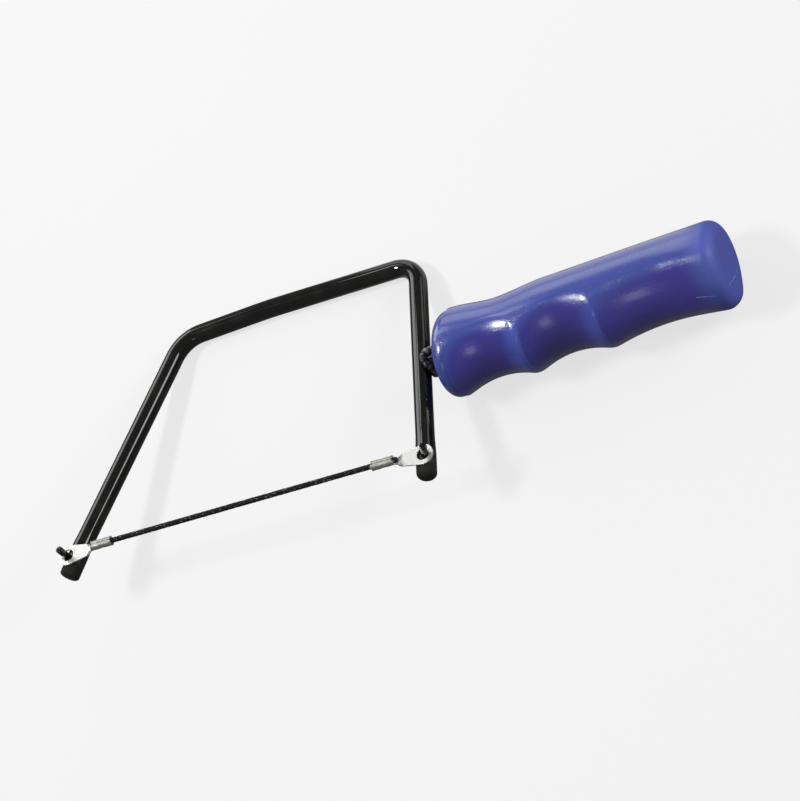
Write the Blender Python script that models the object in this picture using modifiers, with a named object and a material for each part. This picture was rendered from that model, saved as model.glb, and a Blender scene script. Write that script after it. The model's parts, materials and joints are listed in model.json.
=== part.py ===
"""Tile hand saw: a bent rod bow, a moulded grip on a welded tang, and a carbide wire hooked on two pins.

The saw is modelled in its own frame: X runs along the blade towards the grip, Y from the blade to the bow's
top bar, and Z out of the side that the pins stand on. The origin is where the rear leg crosses the blade
line. One empty then lays the saw on a bench, on the top bar and the side of the grip, with the pins upward.
"""

import math

import bmesh
import bpy
from mathutils import Matrix, Vector

MM = 0.001

# Gap kept between pieces that touch, and the smaller one between a crimp and its wire
GAP = 0.3 * MM
CRIMP_GAP = 0.15 * MM

# Bow: corners of the rod's centre line and the radius that each one is bent to
ROD_RADIUS = 3.55 * MM
BAR_HEIGHT = 86.6 * MM
REAR_TAIL = 7.7 * MM
REAR_BEND_RADIUS = 9.0 * MM
BAR_KINK = (-63.0 * MM, 86.3 * MM)
BAR_KINK_RADIUS = 200.0 * MM
FRONT_CORNER = (-100.1 * MM, 84.2 * MM)
FRONT_BEND_RADIUS = 14.4 * MM
FRONT_LEG_LEAN = math.radians(29.1)
FRONT_TAIL = 6.8 * MM
REAR_END_ROUND = 2.4 * MM
FRONT_END_ROUND = 1.2 * MM

# Pins that the blade hooks on
PIN_RADIUS = 1.1 * MM
PIN_ROOT = 1.2 * MM
PIN_TIP = 10.2 * MM
PIN_TIP_ROUND = 0.4 * MM
REAR_PIN_LEAN = math.radians(19.0)
FRONT_PIN_X = -148.5 * MM

# Blade terminals, with their eyes a little slack on the pins
PLATE_THICKNESS = 1.0 * MM
EYE_RADIUS = 4.1 * MM
EYE_HOLE_RADIUS = 2.4 * MM
EYE_SLACK = 0.6 * MM
TONGUE_LENGTH = 9.3 * MM
TONGUE_HALF_WIDTH = 2.7 * MM
NECK_HALF_WIDTH = 1.3 * MM
BARREL_START = 11.2 * MM
BARREL_LENGTH = 8.6 * MM
BARREL_WALL = 0.65 * MM
BARREL_LIFT = 0.05 * MM
SEAM_HALF_ANGLE = math.radians(9.0)

# Blade wire
WIRE_RADIUS = 1.05 * MM
WIRE_STUB = 0.8 * MM

# Grip, along its own axis from the rear leg's centre
GRIP_HEIGHT = 41.0 * MM
GRIP_RISE = math.radians(2.75)
GRIP_FRONT = 10.0 * MM
GRIP_END = 122.6 * MM
FRONT_SLANT = math.tan(math.radians(9.0))
BUTT_SLANT = math.tan(math.radians(3.0))
FRONT_LIP_ROUND = 5.0 * MM
BUTT_ROUND = 4.0 * MM
GRIP_STEPS = 56
GRIP_RING_PITCH = 2.2 * MM

# Place along the grip and radius there, in millimetres, on its top and on its underside before the scoops
GRIP_TOP = ((10.0, 16.8), (15.0, 16.8), (34.0, 14.7), (54.0, 16.1), (100.0, 16.35), (122.6, 16.3))
GRIP_UNDERSIDE = ((10.0, 16.2), (15.0, 16.6), (42.4, 17.1), (72.3, 17.1), (100.0, 17.1), (122.6, 17.3))

# Finger scoops, in millimetres and degrees: place along the grip, least radius under the finger, radius
# of the arc, and the angle up from the underside at which the scoop runs out
SCOOPS = ((28.9, 13.2, 36.0, 86.0), (58.2, 13.2, 37.0, 84.0), (94.2, 14.1, 92.0, 82.0))
SCOOP_FADE_POWER = 2
SCOOP_SOFTNESS = 0.8 * MM

# Tang and its weld
TANG_END = 106.0 * MM
BARB_COUNT = 4
BARB_PITCH = 5.0 * MM
BARB_HEIGHT = 0.5 * MM
BORE_DEPTH = 109.0 * MM
WELD_RADIUS = 1.35 * MM
WELD_OFFSET = 0.7 * MM
WELD_SADDLE = 0.93
WELD_POINTS = 36
WELD_LUMPS = 7
WELD_LUMP_DEPTH = 0.16

# How the saw lies on a bench
REST_ROLL = math.radians(-15.73)
REST_PITCH = math.radians(-0.76)

# How finely round shapes are divided
ROD_SIDES = 20
ROD_BEVEL_RESOLUTION = (ROD_SIDES - 4) // 2
WELD_BEVEL_RESOLUTION = 3
THIN_SIDES = 16
CUTTER_SIDES = 40
EYE_POINTS = 25
EYE_HOLE_POINTS = 24
BARREL_POINTS = 23
EDGE_STEPS = 5
BEND_STEP = math.radians(9.0)
WELD_TOLERANCE = 0.001 * MM
SHARP_ANGLE = 35.0
GRIP_SHARP_ANGLE = 50.0

# Places that follow from the sizes above
REAR_CORNER = (0.0, BAR_HEIGHT)
REAR_END = (0.0, -REAR_TAIL)
FRONT_END = (
    FRONT_CORNER[0] - (FRONT_CORNER[1] + FRONT_TAIL) * math.tan(FRONT_LEG_LEAN),
    -FRONT_TAIL,
)
PLATE_Z = ROD_RADIUS + GAP + PLATE_THICKNESS / 2
BORE_RADIUS_OF_BARREL = WIRE_RADIUS + CRIMP_GAP
BARREL_RADIUS = BORE_RADIUS_OF_BARREL + BARREL_WALL
WIRE_Z = PLATE_Z + PLATE_THICKNESS / 2 + BARREL_LIFT + BORE_RADIUS_OF_BARREL
EYE_SHIFT = EYE_HOLE_RADIUS - PIN_RADIUS - EYE_SLACK
REAR_EYE_X = PLATE_Z * math.tan(REAR_PIN_LEAN) - EYE_SHIFT
FRONT_EYE_X = FRONT_PIN_X + EYE_SHIFT
BORE_RADIUS = ROD_RADIUS + BARB_HEIGHT + GAP


def clear_scene():
    """Remove everything that the file holds."""
    for obj in list(bpy.data.objects):
        bpy.data.objects.remove(obj, do_unlink=True)
    for collection in list(bpy.data.collections):
        bpy.data.collections.remove(collection)


def new_collection(name):
    """Add a collection to the scene."""
    collection = bpy.data.collections.new(name)
    bpy.context.scene.collection.children.link(collection)
    return collection


def new_material(name, colour, roughness, metallic):
    """A plain material of one colour."""
    material = bpy.data.materials.new(name)
    material.use_nodes = True
    shader = material.node_tree.nodes["Principled BSDF"]
    shader.inputs["Base Color"].default_value = (*colour, 1.0)
    shader.inputs["Roughness"].default_value = roughness
    shader.inputs["Metallic"].default_value = metallic
    return material


def new_object(name, data):
    """Add an object to the scene."""
    obj = bpy.data.objects.new(name, data)
    bpy.context.scene.collection.objects.link(obj)
    return obj


def file_under(obj, collection, material=None, parent=None):
    """Move an object into its collection and give it its material and parent."""
    for old in list(obj.users_collection):
        old.objects.unlink(obj)
    collection.objects.link(obj)
    if material:
        obj.data.materials.clear()
        obj.data.materials.append(material)
    if parent:
        obj.parent = parent
    return obj


def smooth(obj, angle=SHARP_ANGLE):
    """Shade an object smooth, apart from edges sharper than an angle in degrees."""
    obj.data.shade_smooth()
    obj.data.set_sharp_from_angle(angle=math.radians(angle))


def as_mesh(obj):
    """Replace a curve, or an object with modifiers, by its evaluated mesh with doubled points welded."""
    bpy.context.view_layer.update()
    evaluated = obj.evaluated_get(bpy.context.evaluated_depsgraph_get())
    mesh = bpy.data.meshes.new_from_object(evaluated)
    shape = bmesh.new()
    shape.from_mesh(mesh)
    bmesh.ops.remove_doubles(shape, verts=shape.verts, dist=WELD_TOLERANCE)
    bmesh.ops.recalc_face_normals(shape, faces=shape.faces)
    shape.to_mesh(mesh)
    shape.free()
    name = obj.name
    world = obj.matrix_world.copy()
    bpy.data.objects.remove(obj, do_unlink=True)
    result = new_object(name, mesh)
    mesh.name = name
    result.matrix_world = world
    return result


def tube(name, points, radius, factors=None, resolution=ROD_BEVEL_RESOLUTION, cyclic=False):
    """A round bar along points, thinner where a point's factor is under one."""
    curve = bpy.data.curves.new(name, "CURVE")
    curve.dimensions = "3D"
    curve.bevel_depth = radius
    curve.bevel_resolution = resolution
    curve.use_fill_caps = not cyclic
    spline = curve.splines.new("POLY")
    spline.points.add(len(points) - 1)
    spline.use_cyclic_u = cyclic
    for index, (target, place) in enumerate(zip(spline.points, points)):
        target.co = (*place, 1.0)
        target.radius = factors[index] if factors else 1.0
    return as_mesh(new_object(name, curve))


def flat_plate(name, outlines, thickness):
    """A plate from closed outlines in its own XY plane, where an inner outline is a hole."""
    curve = bpy.data.curves.new(name, "CURVE")
    curve.dimensions = "2D"
    curve.fill_mode = "BOTH"
    curve.extrude = thickness / 2
    for outline in outlines:
        spline = curve.splines.new("POLY")
        spline.points.add(len(outline) - 1)
        spline.use_cyclic_u = True
        for target, place in zip(spline.points, outline):
            target.co = (*place, 0.0, 1.0)
    return as_mesh(new_object(name, curve))


def turned(name, profile, steps):
    """A body turned about its own Z axis from (radius, height) points that run from top to bottom."""
    mesh = bpy.data.meshes.new(name)
    edges = [(index, index + 1) for index in range(len(profile) - 1)]
    mesh.from_pydata([(radius, 0.0, height) for radius, height in profile], edges, [])
    obj = new_object(name, mesh)
    screw = obj.modifiers.new("turn", "SCREW")
    screw.axis = "Z"
    screw.steps = steps
    screw.render_steps = steps
    screw.use_merge_vertices = True
    screw.merge_threshold = WELD_TOLERANCE
    return as_mesh(obj)


def cylinder(name, radius, start, end, segments):
    """A round bar between two points."""
    mesh = bpy.data.meshes.new(name)
    shape = bmesh.new()
    axis = Vector(end) - Vector(start)
    bmesh.ops.create_cone(
        shape, cap_ends=True, segments=segments, radius1=radius, radius2=radius, depth=axis.length
    )
    shape.to_mesh(mesh)
    shape.free()
    obj = new_object(name, mesh)
    obj.location = (Vector(start) + Vector(end)) / 2
    obj.rotation_euler = axis.to_track_quat("Z", "Y").to_euler()
    bpy.context.view_layer.update()
    return obj


def combine(obj, other, operation, cutters):
    """Cut another body from an object, or join it on, and keep the other as a hidden cutter."""
    modifier = obj.modifiers.new(operation.lower(), "BOOLEAN")
    modifier.operation = operation
    modifier.object = other
    modifier.solver = "EXACT"
    file_under(other, cutters)
    other.hide_render = True
    other.display_type = "WIRE"
    return as_mesh(obj)


def arc(centre, radius, start, end, count):
    """Points on an arc, both ends included, with angles in radians."""
    angles = [start + (end - start) * index / (count - 1) for index in range(count)]
    return [(centre[0] + radius * math.cos(a), centre[1] + radius * math.sin(a)) for a in angles]


def rounded_path(corners, radii):
    """A centre line through corners, with each inner corner bent to its own radius."""
    points = [Vector(corners[0])]
    for before, corner, after, radius in zip(corners, corners[1:], corners[2:], radii):
        here = Vector(corner)
        incoming = (here - Vector(before)).normalized()
        outgoing = (Vector(after) - here).normalized()
        turn = incoming.angle(outgoing)
        side = 1.0 if incoming.x * outgoing.y - incoming.y * outgoing.x > 0 else -1.0
        start = here - incoming * radius * math.tan(turn / 2)
        normal = Vector((-incoming.y, incoming.x)) * side
        count = max(3, round(turn / BEND_STEP))
        for index in range(count + 1):
            angle = turn * index / count
            ahead = incoming * radius * math.sin(angle)
            inward = normal * radius * (1 - math.cos(angle))
            points.append(start + ahead + inward)
    points.append(Vector(corners[-1]))
    return points


def rounded_end(tip, inward, radius, edge):
    """Points and radius factors that round over the end of a bar, starting at the tip."""
    points = []
    factors = []
    for index in range(EDGE_STEPS):
        angle = math.pi / 2 * index / (EDGE_STEPS - 1)
        points.append(tip + inward * edge * (1 - math.cos(angle)))
        factors.append((radius - edge + edge * math.sin(angle)) / radius)
    return points, factors


def build_bow(cutters):
    """The bent rod, with a blind hole for each pin."""
    path = rounded_path(
        (REAR_END, REAR_CORNER, BAR_KINK, FRONT_CORNER, FRONT_END),
        (REAR_BEND_RADIUS, BAR_KINK_RADIUS, FRONT_BEND_RADIUS),
    )
    rear_in = (path[1] - path[0]).normalized()
    front_in = (path[-2] - path[-1]).normalized()
    rear_points, rear_factors = rounded_end(path[0], rear_in, ROD_RADIUS, REAR_END_ROUND)
    front_points, front_factors = rounded_end(path[-1], front_in, ROD_RADIUS, FRONT_END_ROUND)
    points = rear_points + path[1:-1] + front_points[::-1]
    factors = rear_factors + [1.0] * (len(path) - 2) + front_factors[::-1]
    bow = tube("bow_frame", [(p.x, p.y, 0.0) for p in points], ROD_RADIUS, factors)
    for name, (root, tip) in pin_lines().items():
        direction = (tip - root).normalized()
        hole = cylinder(f"{name}_hole", PIN_RADIUS + GAP, root - direction * GAP, tip, THIN_SIDES)
        bow = combine(bow, hole, "DIFFERENCE", cutters)
    smooth(bow)
    return bow


def pin_lines():
    """Root and tip of each pin's axis."""
    lean = Vector((math.sin(REAR_PIN_LEAN), 0.0, math.cos(REAR_PIN_LEAN)))
    front = Vector((FRONT_PIN_X, 0.0, 0.0))
    upright = Vector((0.0, 0.0, 1.0))
    return {
        "rear_pin": (lean * -PIN_ROOT, lean * (PIN_TIP / math.cos(REAR_PIN_LEAN))),
        "front_pin": (front - upright * PIN_ROOT / 2, front + upright * PIN_TIP),
    }


def build_pin(name):
    """A headless pin with a softened tip."""
    root, tip = pin_lines()[name]
    pin = cylinder(name, PIN_RADIUS, root, tip, THIN_SIDES)
    bevel = pin.modifiers.new("tip", "BEVEL")
    bevel.width = PIN_TIP_ROUND
    bevel.segments = 2
    bevel.limit_method = "ANGLE"
    pin = as_mesh(pin)
    smooth(pin)
    return pin


def build_terminal(name, eye_x, facing, cutters):
    """A stamped eye whose tongue narrows into a barrel rolled round the wire; facing is the barrel's way."""
    lean = math.asin((EYE_RADIUS - TONGUE_HALF_WIDTH) / math.hypot(TONGUE_LENGTH, EYE_RADIUS / 2))
    eye = arc((0.0, 0.0), EYE_RADIUS, math.pi / 2 - lean, 3 * math.pi / 2 + lean, EYE_POINTS)
    barrel_grip = BARREL_START + BARREL_LENGTH / 2
    strip = [
        (TONGUE_LENGTH, -TONGUE_HALF_WIDTH),
        (BARREL_START, -NECK_HALF_WIDTH),
        (barrel_grip, -NECK_HALF_WIDTH),
        (barrel_grip, NECK_HALF_WIDTH),
        (BARREL_START, NECK_HALF_WIDTH),
        (TONGUE_LENGTH, TONGUE_HALF_WIDTH),
    ]
    last = math.tau * (EYE_HOLE_POINTS - 1) / EYE_HOLE_POINTS
    hole = arc((0.0, 0.0), EYE_HOLE_RADIUS, 0.0, last, EYE_HOLE_POINTS)
    terminal = flat_plate(name, (eye + strip, hole), PLATE_THICKNESS)

    open_from = math.pi / 2 + SEAM_HALF_ANGLE
    open_to = 5 * math.pi / 2 - SEAM_HALF_ANGLE
    outer = arc((0.0, 0.0), BARREL_RADIUS, open_from, open_to, BARREL_POINTS)
    inner = arc((0.0, 0.0), BORE_RADIUS_OF_BARREL, open_to, open_from, BARREL_POINTS)
    barrel = flat_plate(f"{name}_barrel", (outer + inner,), BARREL_LENGTH)
    barrel.matrix_world = Matrix(
        (
            (0.0, 0.0, 1.0, BARREL_START + BARREL_LENGTH / 2),
            (1.0, 0.0, 0.0, 0.0),
            (0.0, 1.0, 0.0, WIRE_Z - PLATE_Z),
            (0.0, 0.0, 0.0, 1.0),
        )
    )
    terminal = combine(terminal, barrel, "UNION", cutters)
    terminal.location = (eye_x, 0.0, PLATE_Z)
    terminal.rotation_euler = (0.0, 0.0, 0.0 if facing > 0 else math.pi)
    smooth(terminal)
    return terminal


def build_wire():
    """The grit-coated wire, a little longer than the space between the barrels' far ends."""
    reach = BARREL_START - WIRE_STUB
    start = (FRONT_EYE_X + reach, 0.0, WIRE_Z)
    end = (REAR_EYE_X - reach, 0.0, WIRE_Z)
    wire = cylinder("blade_wire", WIRE_RADIUS, start, end, THIN_SIDES)
    smooth(wire)
    return wire


def grip_frame():
    """Places the grip's own axes: X up towards the top bar, Y out of the pin side, Z along the grip."""
    along = Vector((math.cos(GRIP_RISE), math.sin(GRIP_RISE), 0.0))
    up = Vector((-math.sin(GRIP_RISE), math.cos(GRIP_RISE), 0.0))
    out = along.cross(up)
    frame = Matrix((up, out, along)).transposed().to_4x4()
    frame.translation = (0.0, GRIP_HEIGHT, 0.0)
    return frame


def station_radius(stations, place):
    """Radius at a place along the grip, eased between stations given in millimetres."""
    place = place / MM
    for (start, low), (end, high) in zip(stations, stations[1:]):
        if place <= end:
            share = min(max((place - start) / (end - start), 0.0), 1.0)
            return (low + (high - low) * share * share * (3 - 2 * share)) * MM
    return stations[-1][1] * MM


def soft_min(first, second, softness):
    """The smaller of two lengths, with the change from one to the other rounded off."""
    share = max(softness - abs(first - second), 0.0) / softness
    return min(first, second) - share * share * softness / 4


def grip_radius(place, angle):
    """The grip's radius at a place along it, with the angle measured from the middle of its underside."""
    top = station_radius(GRIP_TOP, place)
    underside = station_radius(GRIP_UNDERSIDE, place)
    radius = top + (underside - top) * (1 + math.cos(angle)) / 2
    for centre, floor, bend, edge in SCOOPS:
        across = place - centre * MM
        if abs(across) < bend * MM:
            depth = station_radius(GRIP_UNDERSIDE, centre * MM) - floor * MM
            share = (1 - math.cos(angle)) / (1 - math.cos(math.radians(edge)))
            hollow = floor * MM + depth * share**SCOOP_FADE_POWER
            hollow += bend * MM - math.sqrt((bend * MM) ** 2 - across**2)
            radius = soft_min(radius, hollow, SCOOP_SOFTNESS)
    return radius


def grip_radius_of_blank(place):
    """Radius of the turned blank that the scoops are pressed into."""
    return station_radius(GRIP_UNDERSIDE, place)


def build_grip(cutters):
    """A turned blank with the finger scoops pressed in, slanted a little and drilled for the tang."""
    front = grip_radius_of_blank(GRIP_FRONT) - FRONT_LIP_ROUND
    butt = grip_radius_of_blank(GRIP_END) - BUTT_ROUND
    profile = [(0.0, GRIP_END), (butt, GRIP_END)]
    for index in range(1, EDGE_STEPS + 1):
        angle = math.pi / 2 * index / EDGE_STEPS
        profile.append((butt + BUTT_ROUND * math.sin(angle), GRIP_END - BUTT_ROUND * (1 - math.cos(angle))))
    skin_top = GRIP_END - BUTT_ROUND
    skin_low = GRIP_FRONT + FRONT_LIP_ROUND
    rings = round((skin_top - skin_low) / GRIP_RING_PITCH)
    for index in range(1, rings):
        place = skin_top + (skin_low - skin_top) * index / rings
        profile.append((grip_radius_of_blank(place), place))
    for index in range(EDGE_STEPS + 1):
        angle = math.pi / 2 * index / EDGE_STEPS
        profile.append(
            (front + FRONT_LIP_ROUND * math.cos(angle), skin_low - FRONT_LIP_ROUND * math.sin(angle))
        )
    profile.append((0.0, GRIP_FRONT))
    grip = turned("handle_grip", profile, GRIP_STEPS)
    for vertex in grip.data.vertices:
        radius = math.hypot(vertex.co.x, vertex.co.y)
        place = vertex.co.z
        if radius > 0.0:
            angle = math.atan2(vertex.co.y, -vertex.co.x)
            scale = grip_radius(place, angle) / grip_radius_of_blank(place)
            vertex.co.x *= scale
            vertex.co.y *= scale
        share = (place - GRIP_FRONT) / (GRIP_END - GRIP_FRONT)
        vertex.co.z = place + vertex.co.x * (FRONT_SLANT + (BUTT_SLANT - FRONT_SLANT) * share)
    bore = cylinder("tang_bore", BORE_RADIUS, (0.0, 0.0, 0.0), (0.0, 0.0, BORE_DEPTH), ROD_SIDES)
    grip = combine(grip, bore, "DIFFERENCE", cutters)
    grip.matrix_world = grip_frame()
    smooth(grip, GRIP_SHARP_ANGLE)
    return grip


def build_tang(cutters):
    """The rod that carries the grip, barbed at its far end and coped to the rear leg."""
    profile = [(0.0, TANG_END), (ROD_RADIUS - BARB_HEIGHT, TANG_END)]
    place = TANG_END - BARB_PITCH / 2
    for _ in range(BARB_COUNT):
        profile.append((ROD_RADIUS + BARB_HEIGHT, place))
        profile.append((ROD_RADIUS, place - BARB_HEIGHT))
        place -= BARB_PITCH
        profile.append((ROD_RADIUS, place + BARB_PITCH / 2))
    profile += [(ROD_RADIUS, 0.0), (0.0, 0.0)]
    tang = turned("handle_tang", profile, ROD_SIDES)
    tang.matrix_world = grip_frame()
    tang = combine(tang, leg_cutter("tang_cope"), "DIFFERENCE", cutters)
    smooth(tang)
    return tang


def leg_cutter(name):
    """A bar a little thicker than the rear leg, for what is fitted against it."""
    start = (0.0, GRIP_HEIGHT / 2, 0.0)
    end = (0.0, GRIP_HEIGHT * 3 / 2, 0.0)
    return cylinder(name, ROD_RADIUS + GAP, start, end, CUTTER_SIDES)


def build_weld(cutters):
    """The bead along the line where the tang's side meets the rear leg's."""
    reach = ROD_RADIUS + WELD_OFFSET
    points = []
    factors = []
    frame = grip_frame()
    for index in range(WELD_POINTS):
        angle = math.tau * index / WELD_POINTS
        up = reach * math.cos(angle)
        out = reach * math.sin(angle)
        along = math.sqrt(reach**2 - (WELD_SADDLE * out) ** 2) + WELD_OFFSET
        points.append(frame @ Vector((up, out, along)))
        factors.append(1.0 + WELD_LUMP_DEPTH * math.sin(WELD_LUMPS * angle))
    weld = tube("tang_weld", points, WELD_RADIUS, factors, WELD_BEVEL_RESOLUTION, cyclic=True)
    weld = combine(weld, leg_cutter("weld_leg"), "DIFFERENCE", cutters)
    start = frame @ Vector((0.0, 0.0, -GRIP_FRONT))
    end = frame @ Vector((0.0, 0.0, 2 * GRIP_FRONT))
    tang_bar = cylinder("weld_tang", ROD_RADIUS + GAP, start, end, CUTTER_SIDES)
    weld = combine(weld, tang_bar, "DIFFERENCE", cutters)
    smooth(weld)
    return weld


def lay_on_bench(root, parts):
    """Turn the saw as it lies, and put the origin under the middle of its box, on the bench."""
    root.rotation_euler = (REST_ROLL, REST_PITCH, 0.0)
    bpy.context.view_layer.update()
    corners = [part.matrix_world @ vertex.co for part in parts for vertex in part.data.vertices]
    lows = [min(corner[axis] for corner in corners) for axis in range(3)]
    highs = [max(corner[axis] for corner in corners) for axis in range(3)]
    root.location = (-(lows[0] + highs[0]) / 2, -(lows[1] + highs[1]) / 2, -lows[2])
    bpy.context.view_layer.update()


def main():
    """Build every piece, dress it and lay the saw down."""
    clear_scene()
    saw = new_collection("tile_hand_saw")
    cutters = new_collection("cutters")
    lacquer = new_material("black_lacquer", (0.012, 0.012, 0.012), 0.22, 0.0)
    plastic = new_material("blue_plastic", (0.06, 0.075, 0.38), 0.35, 0.0)
    zinc = new_material("zinc_plate", (0.72, 0.72, 0.70), 0.3, 1.0)
    carbide = new_material("carbide_grit", (0.03, 0.03, 0.03), 0.6, 0.4)
    bead = new_material("weld_bead", (0.12, 0.12, 0.12), 0.4, 0.3)

    root = file_under(new_object("saw_on_bench", None), saw)
    hinge = file_under(new_object("blade_hinge", None), saw, parent=root)

    parts = [
        file_under(build_bow(cutters), saw, lacquer, root),
        file_under(build_pin("front_pin"), saw, lacquer, root),
        file_under(build_pin("rear_pin"), saw, lacquer, root),
        file_under(build_tang(cutters), saw, lacquer, root),
        file_under(build_weld(cutters), saw, bead, root),
        file_under(build_grip(cutters), saw, plastic, root),
        file_under(build_wire(), saw, carbide, hinge),
        file_under(build_terminal("front_terminal", FRONT_EYE_X, 1, cutters), saw, zinc, hinge),
        file_under(build_terminal("rear_terminal", REAR_EYE_X, -1, cutters), saw, zinc, hinge),
    ]
    lay_on_bench(root, parts)


main()
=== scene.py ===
"""Looks of the tile hand saw: a bent rod bow, a moulded grip on a tang, and a grit wire between two lugs.

Sizes are in millimetres and angles in radians where nothing else is said. The saw's own axes are X along the
blade towards the grip, Y from the blade to the bow's top bar, and Z out of the side that the pins stand on.
The origin is where the rear leg crosses the blade.
"""

import json
import logging
import math
from dataclasses import dataclass, field
from enum import Enum
from typing import Any, Union

import bpy
import numpy as np
from mathutils import Matrix


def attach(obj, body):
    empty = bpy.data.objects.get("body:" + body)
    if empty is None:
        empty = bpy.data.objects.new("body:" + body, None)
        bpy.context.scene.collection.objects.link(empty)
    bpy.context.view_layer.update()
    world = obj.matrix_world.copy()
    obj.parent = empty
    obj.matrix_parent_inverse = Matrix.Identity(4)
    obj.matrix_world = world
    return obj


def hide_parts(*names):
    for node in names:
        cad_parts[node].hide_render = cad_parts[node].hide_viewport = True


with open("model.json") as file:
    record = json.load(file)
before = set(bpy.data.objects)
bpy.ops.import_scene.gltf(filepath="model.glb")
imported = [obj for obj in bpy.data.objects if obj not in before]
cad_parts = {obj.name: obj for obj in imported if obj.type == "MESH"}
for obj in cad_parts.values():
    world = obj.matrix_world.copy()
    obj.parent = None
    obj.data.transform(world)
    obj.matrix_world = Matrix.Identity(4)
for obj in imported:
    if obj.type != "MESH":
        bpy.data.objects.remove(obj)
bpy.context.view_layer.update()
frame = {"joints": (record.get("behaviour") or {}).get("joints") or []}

log = logging.getLogger("tile_hand_saw")

MM = 0.001
TAU = math.tau
TINY = 1e-6
ROD_RADIUS = 3.55
PIN_LEAN = math.radians(19.0)
SHARP = 40.0
LUMP_SEED = 5
PIN_SEED = 11
WELD_SEED = 3
GRAIN_SEED = 17

Array = np.ndarray
Piece = bpy.types.Object
Material = bpy.types.Material
Colour = tuple[float, float, float]
Span = tuple[float, float]
Number = Union[float, "Value"]


class Body(Enum):
    """Bodies of the saw that pieces ride on."""

    FRAME = "frame"
    BLADE = "blade"


class End(Enum):
    """Ends of the blade, each with the way that its lug's barrel points along X."""

    FRONT = 1
    REAR = -1


def unit(vectors: Array) -> Array:
    """Vectors scaled to length one along their last axis."""
    return vectors / np.linalg.norm(vectors, axis=-1, keepdims=True)


def ease(values: Array, low: float, high: float) -> Array:
    """Nought below low and one above high, with a smooth step between: 3 t squared less 2 t cubed."""
    share = np.clip((values - low) / (high - low), 0.0, 1.0)
    return share**2 * (3 - 2 * share)


def joined(*parts: Any) -> Array:
    """Coordinates put together on a last axis, each stretched to the shape of the others."""
    return np.stack(np.broadcast_arrays(*parts), axis=-1)


def all_round(count: int) -> Array:
    """Angles of even places round a ring."""
    return np.linspace(0.0, TAU, count, endpoint=False)


def read_off(line: Array, run: Array, at: Array) -> Array:
    """Points of a flat line, whose own points lie at the lengths of run, at other lengths along it."""
    return joined(*(np.interp(at, run, values) for values in line.T))


def roughness_of(points: Array, length: float, seed: int, waves: int = 28) -> Array:
    """A smooth random height at points: the sum of sine waves of seeded direction and phase.

    Args:
        points: Places in millimetres, on the last axis.
        length: Usual wave length in millimetres.
        seed: Seed of the random draws.
        waves: How many waves are summed.

    Returns:
        Heights of about unit spread, one for each point.
    """
    rng = np.random.default_rng(seed)
    ways = unit(rng.normal(size=(waves, 3)))
    pitches = length * rng.uniform(0.7, 1.5, size=waves)
    phases = rng.uniform(0.0, TAU, size=waves)
    swing = np.sin(points @ (ways * TAU / pitches[:, None]).T + phases)
    return swing.sum(axis=-1) * math.sqrt(2.0 / waves)


@dataclass(frozen=True)
class SawAxes:
    """The saw's own axes as it lies in the scene.

    Attributes:
        origin: Where the rear leg crosses the blade's line, in metres.
        axes: The saw's X, Y and Z as rows.
    """

    origin: Array
    axes: Array

    @classmethod
    def from_hinge(cls, joint: dict[str, Any]) -> "SawAxes":
        """Read the axes from the blade's hinge, which turns about the saw's Y with X level across the bench.

        Args:
            joint: The hinge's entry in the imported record.

        Returns:
            The axes.
        """
        up = unit(np.array(joint["axis"]))
        along = unit(np.array((-up[2], 0.0, up[0])))
        return cls(np.array(joint["pos_m"]), np.stack((along, up, np.cross(along, up))))

    def place(self, points: Array) -> Array:
        """Points in millimetres on the saw's axes, as metres in the scene."""
        return self.origin + points * MM @ self.axes

    def turn(self, directions: Array) -> Array:
        """Directions on the saw's axes, as directions in the scene."""
        return directions @ self.axes


SAW = SawAxes.from_hinge(frame["joints"][0])


@dataclass
class Skin:
    """A surface made of rings of points, each ring closed on itself.

    Attributes:
        grid: Points in millimetres, as rings by places round the ring.
        looped: Whether the last ring joins the first; otherwise each end closes on the middle of its ring.
        marks: Named numbers on the same grid, for the finish to read.
    """

    grid: Array
    looped: bool = False
    marks: dict[str, Array] = field(default_factory=dict)

    def points(self) -> Array:
        """All points in one list, the two end middles last."""
        flat = self.grid.reshape(-1, 3)
        return flat if self.looped else np.concatenate((flat, self.grid[[0, -1]].mean(axis=1)))

    def faces(self) -> tuple[Array, Array]:
        """Find the four-sided faces between rings.

        Returns:
            Those faces, and the fans that close the ends.
        """
        rings, sides = self.grid.shape[:2]
        index = np.arange(rings * sides).reshape(rings, sides)
        here, there = (index, np.roll(index, -1, axis=0)) if self.looped else (index[:-1], index[1:])
        quads = joined(here, np.roll(here, -1, axis=1), np.roll(there, -1, axis=1), there).reshape(-1, 4)
        if self.looped:
            return quads, np.zeros((0, 3), dtype=int)
        start = joined(np.roll(index[0], -1), index[0], rings * sides)
        end = joined(index[-1], np.roll(index[-1], -1), rings * sides + 1)
        return quads, np.concatenate((start, end))

    def volume(self) -> float:
        """Signed volume of the closed skin, the sum of its faces' tetrahedra.

        Returns:
            The volume, negative if the skin is inside out.
        """
        quads, fans = self.faces()
        first, second, third = self.points()[np.concatenate((quads[:, :3], quads[:, [0, 2, 3]], fans)).T]
        return float((first * np.cross(second, third)).sum() / 6)

    def build(self, name: str, sharp: float = SHARP) -> Piece:
        """Make the piece, with its place in its mesh and its faces outward.

        Args:
            name: Name of the piece.
            sharp: Angle in degrees past which an edge is shaded sharp.

        Returns:
            The new object.
        """
        if self.volume() < 0:
            self.grid = self.grid[:, ::-1]
            self.marks = {mark: values[:, ::-1] for mark, values in self.marks.items()}
        quads, fans = self.faces()
        obj = mesh_object(name, self.points(), quads.tolist() + fans.tolist(), sharp)
        for mark, values in self.marks.items():
            ends = [] if self.looped else values[[0, -1]].mean(axis=1)
            put_mark(obj, mark, np.concatenate((values.ravel(), ends)))
        return obj


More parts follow.
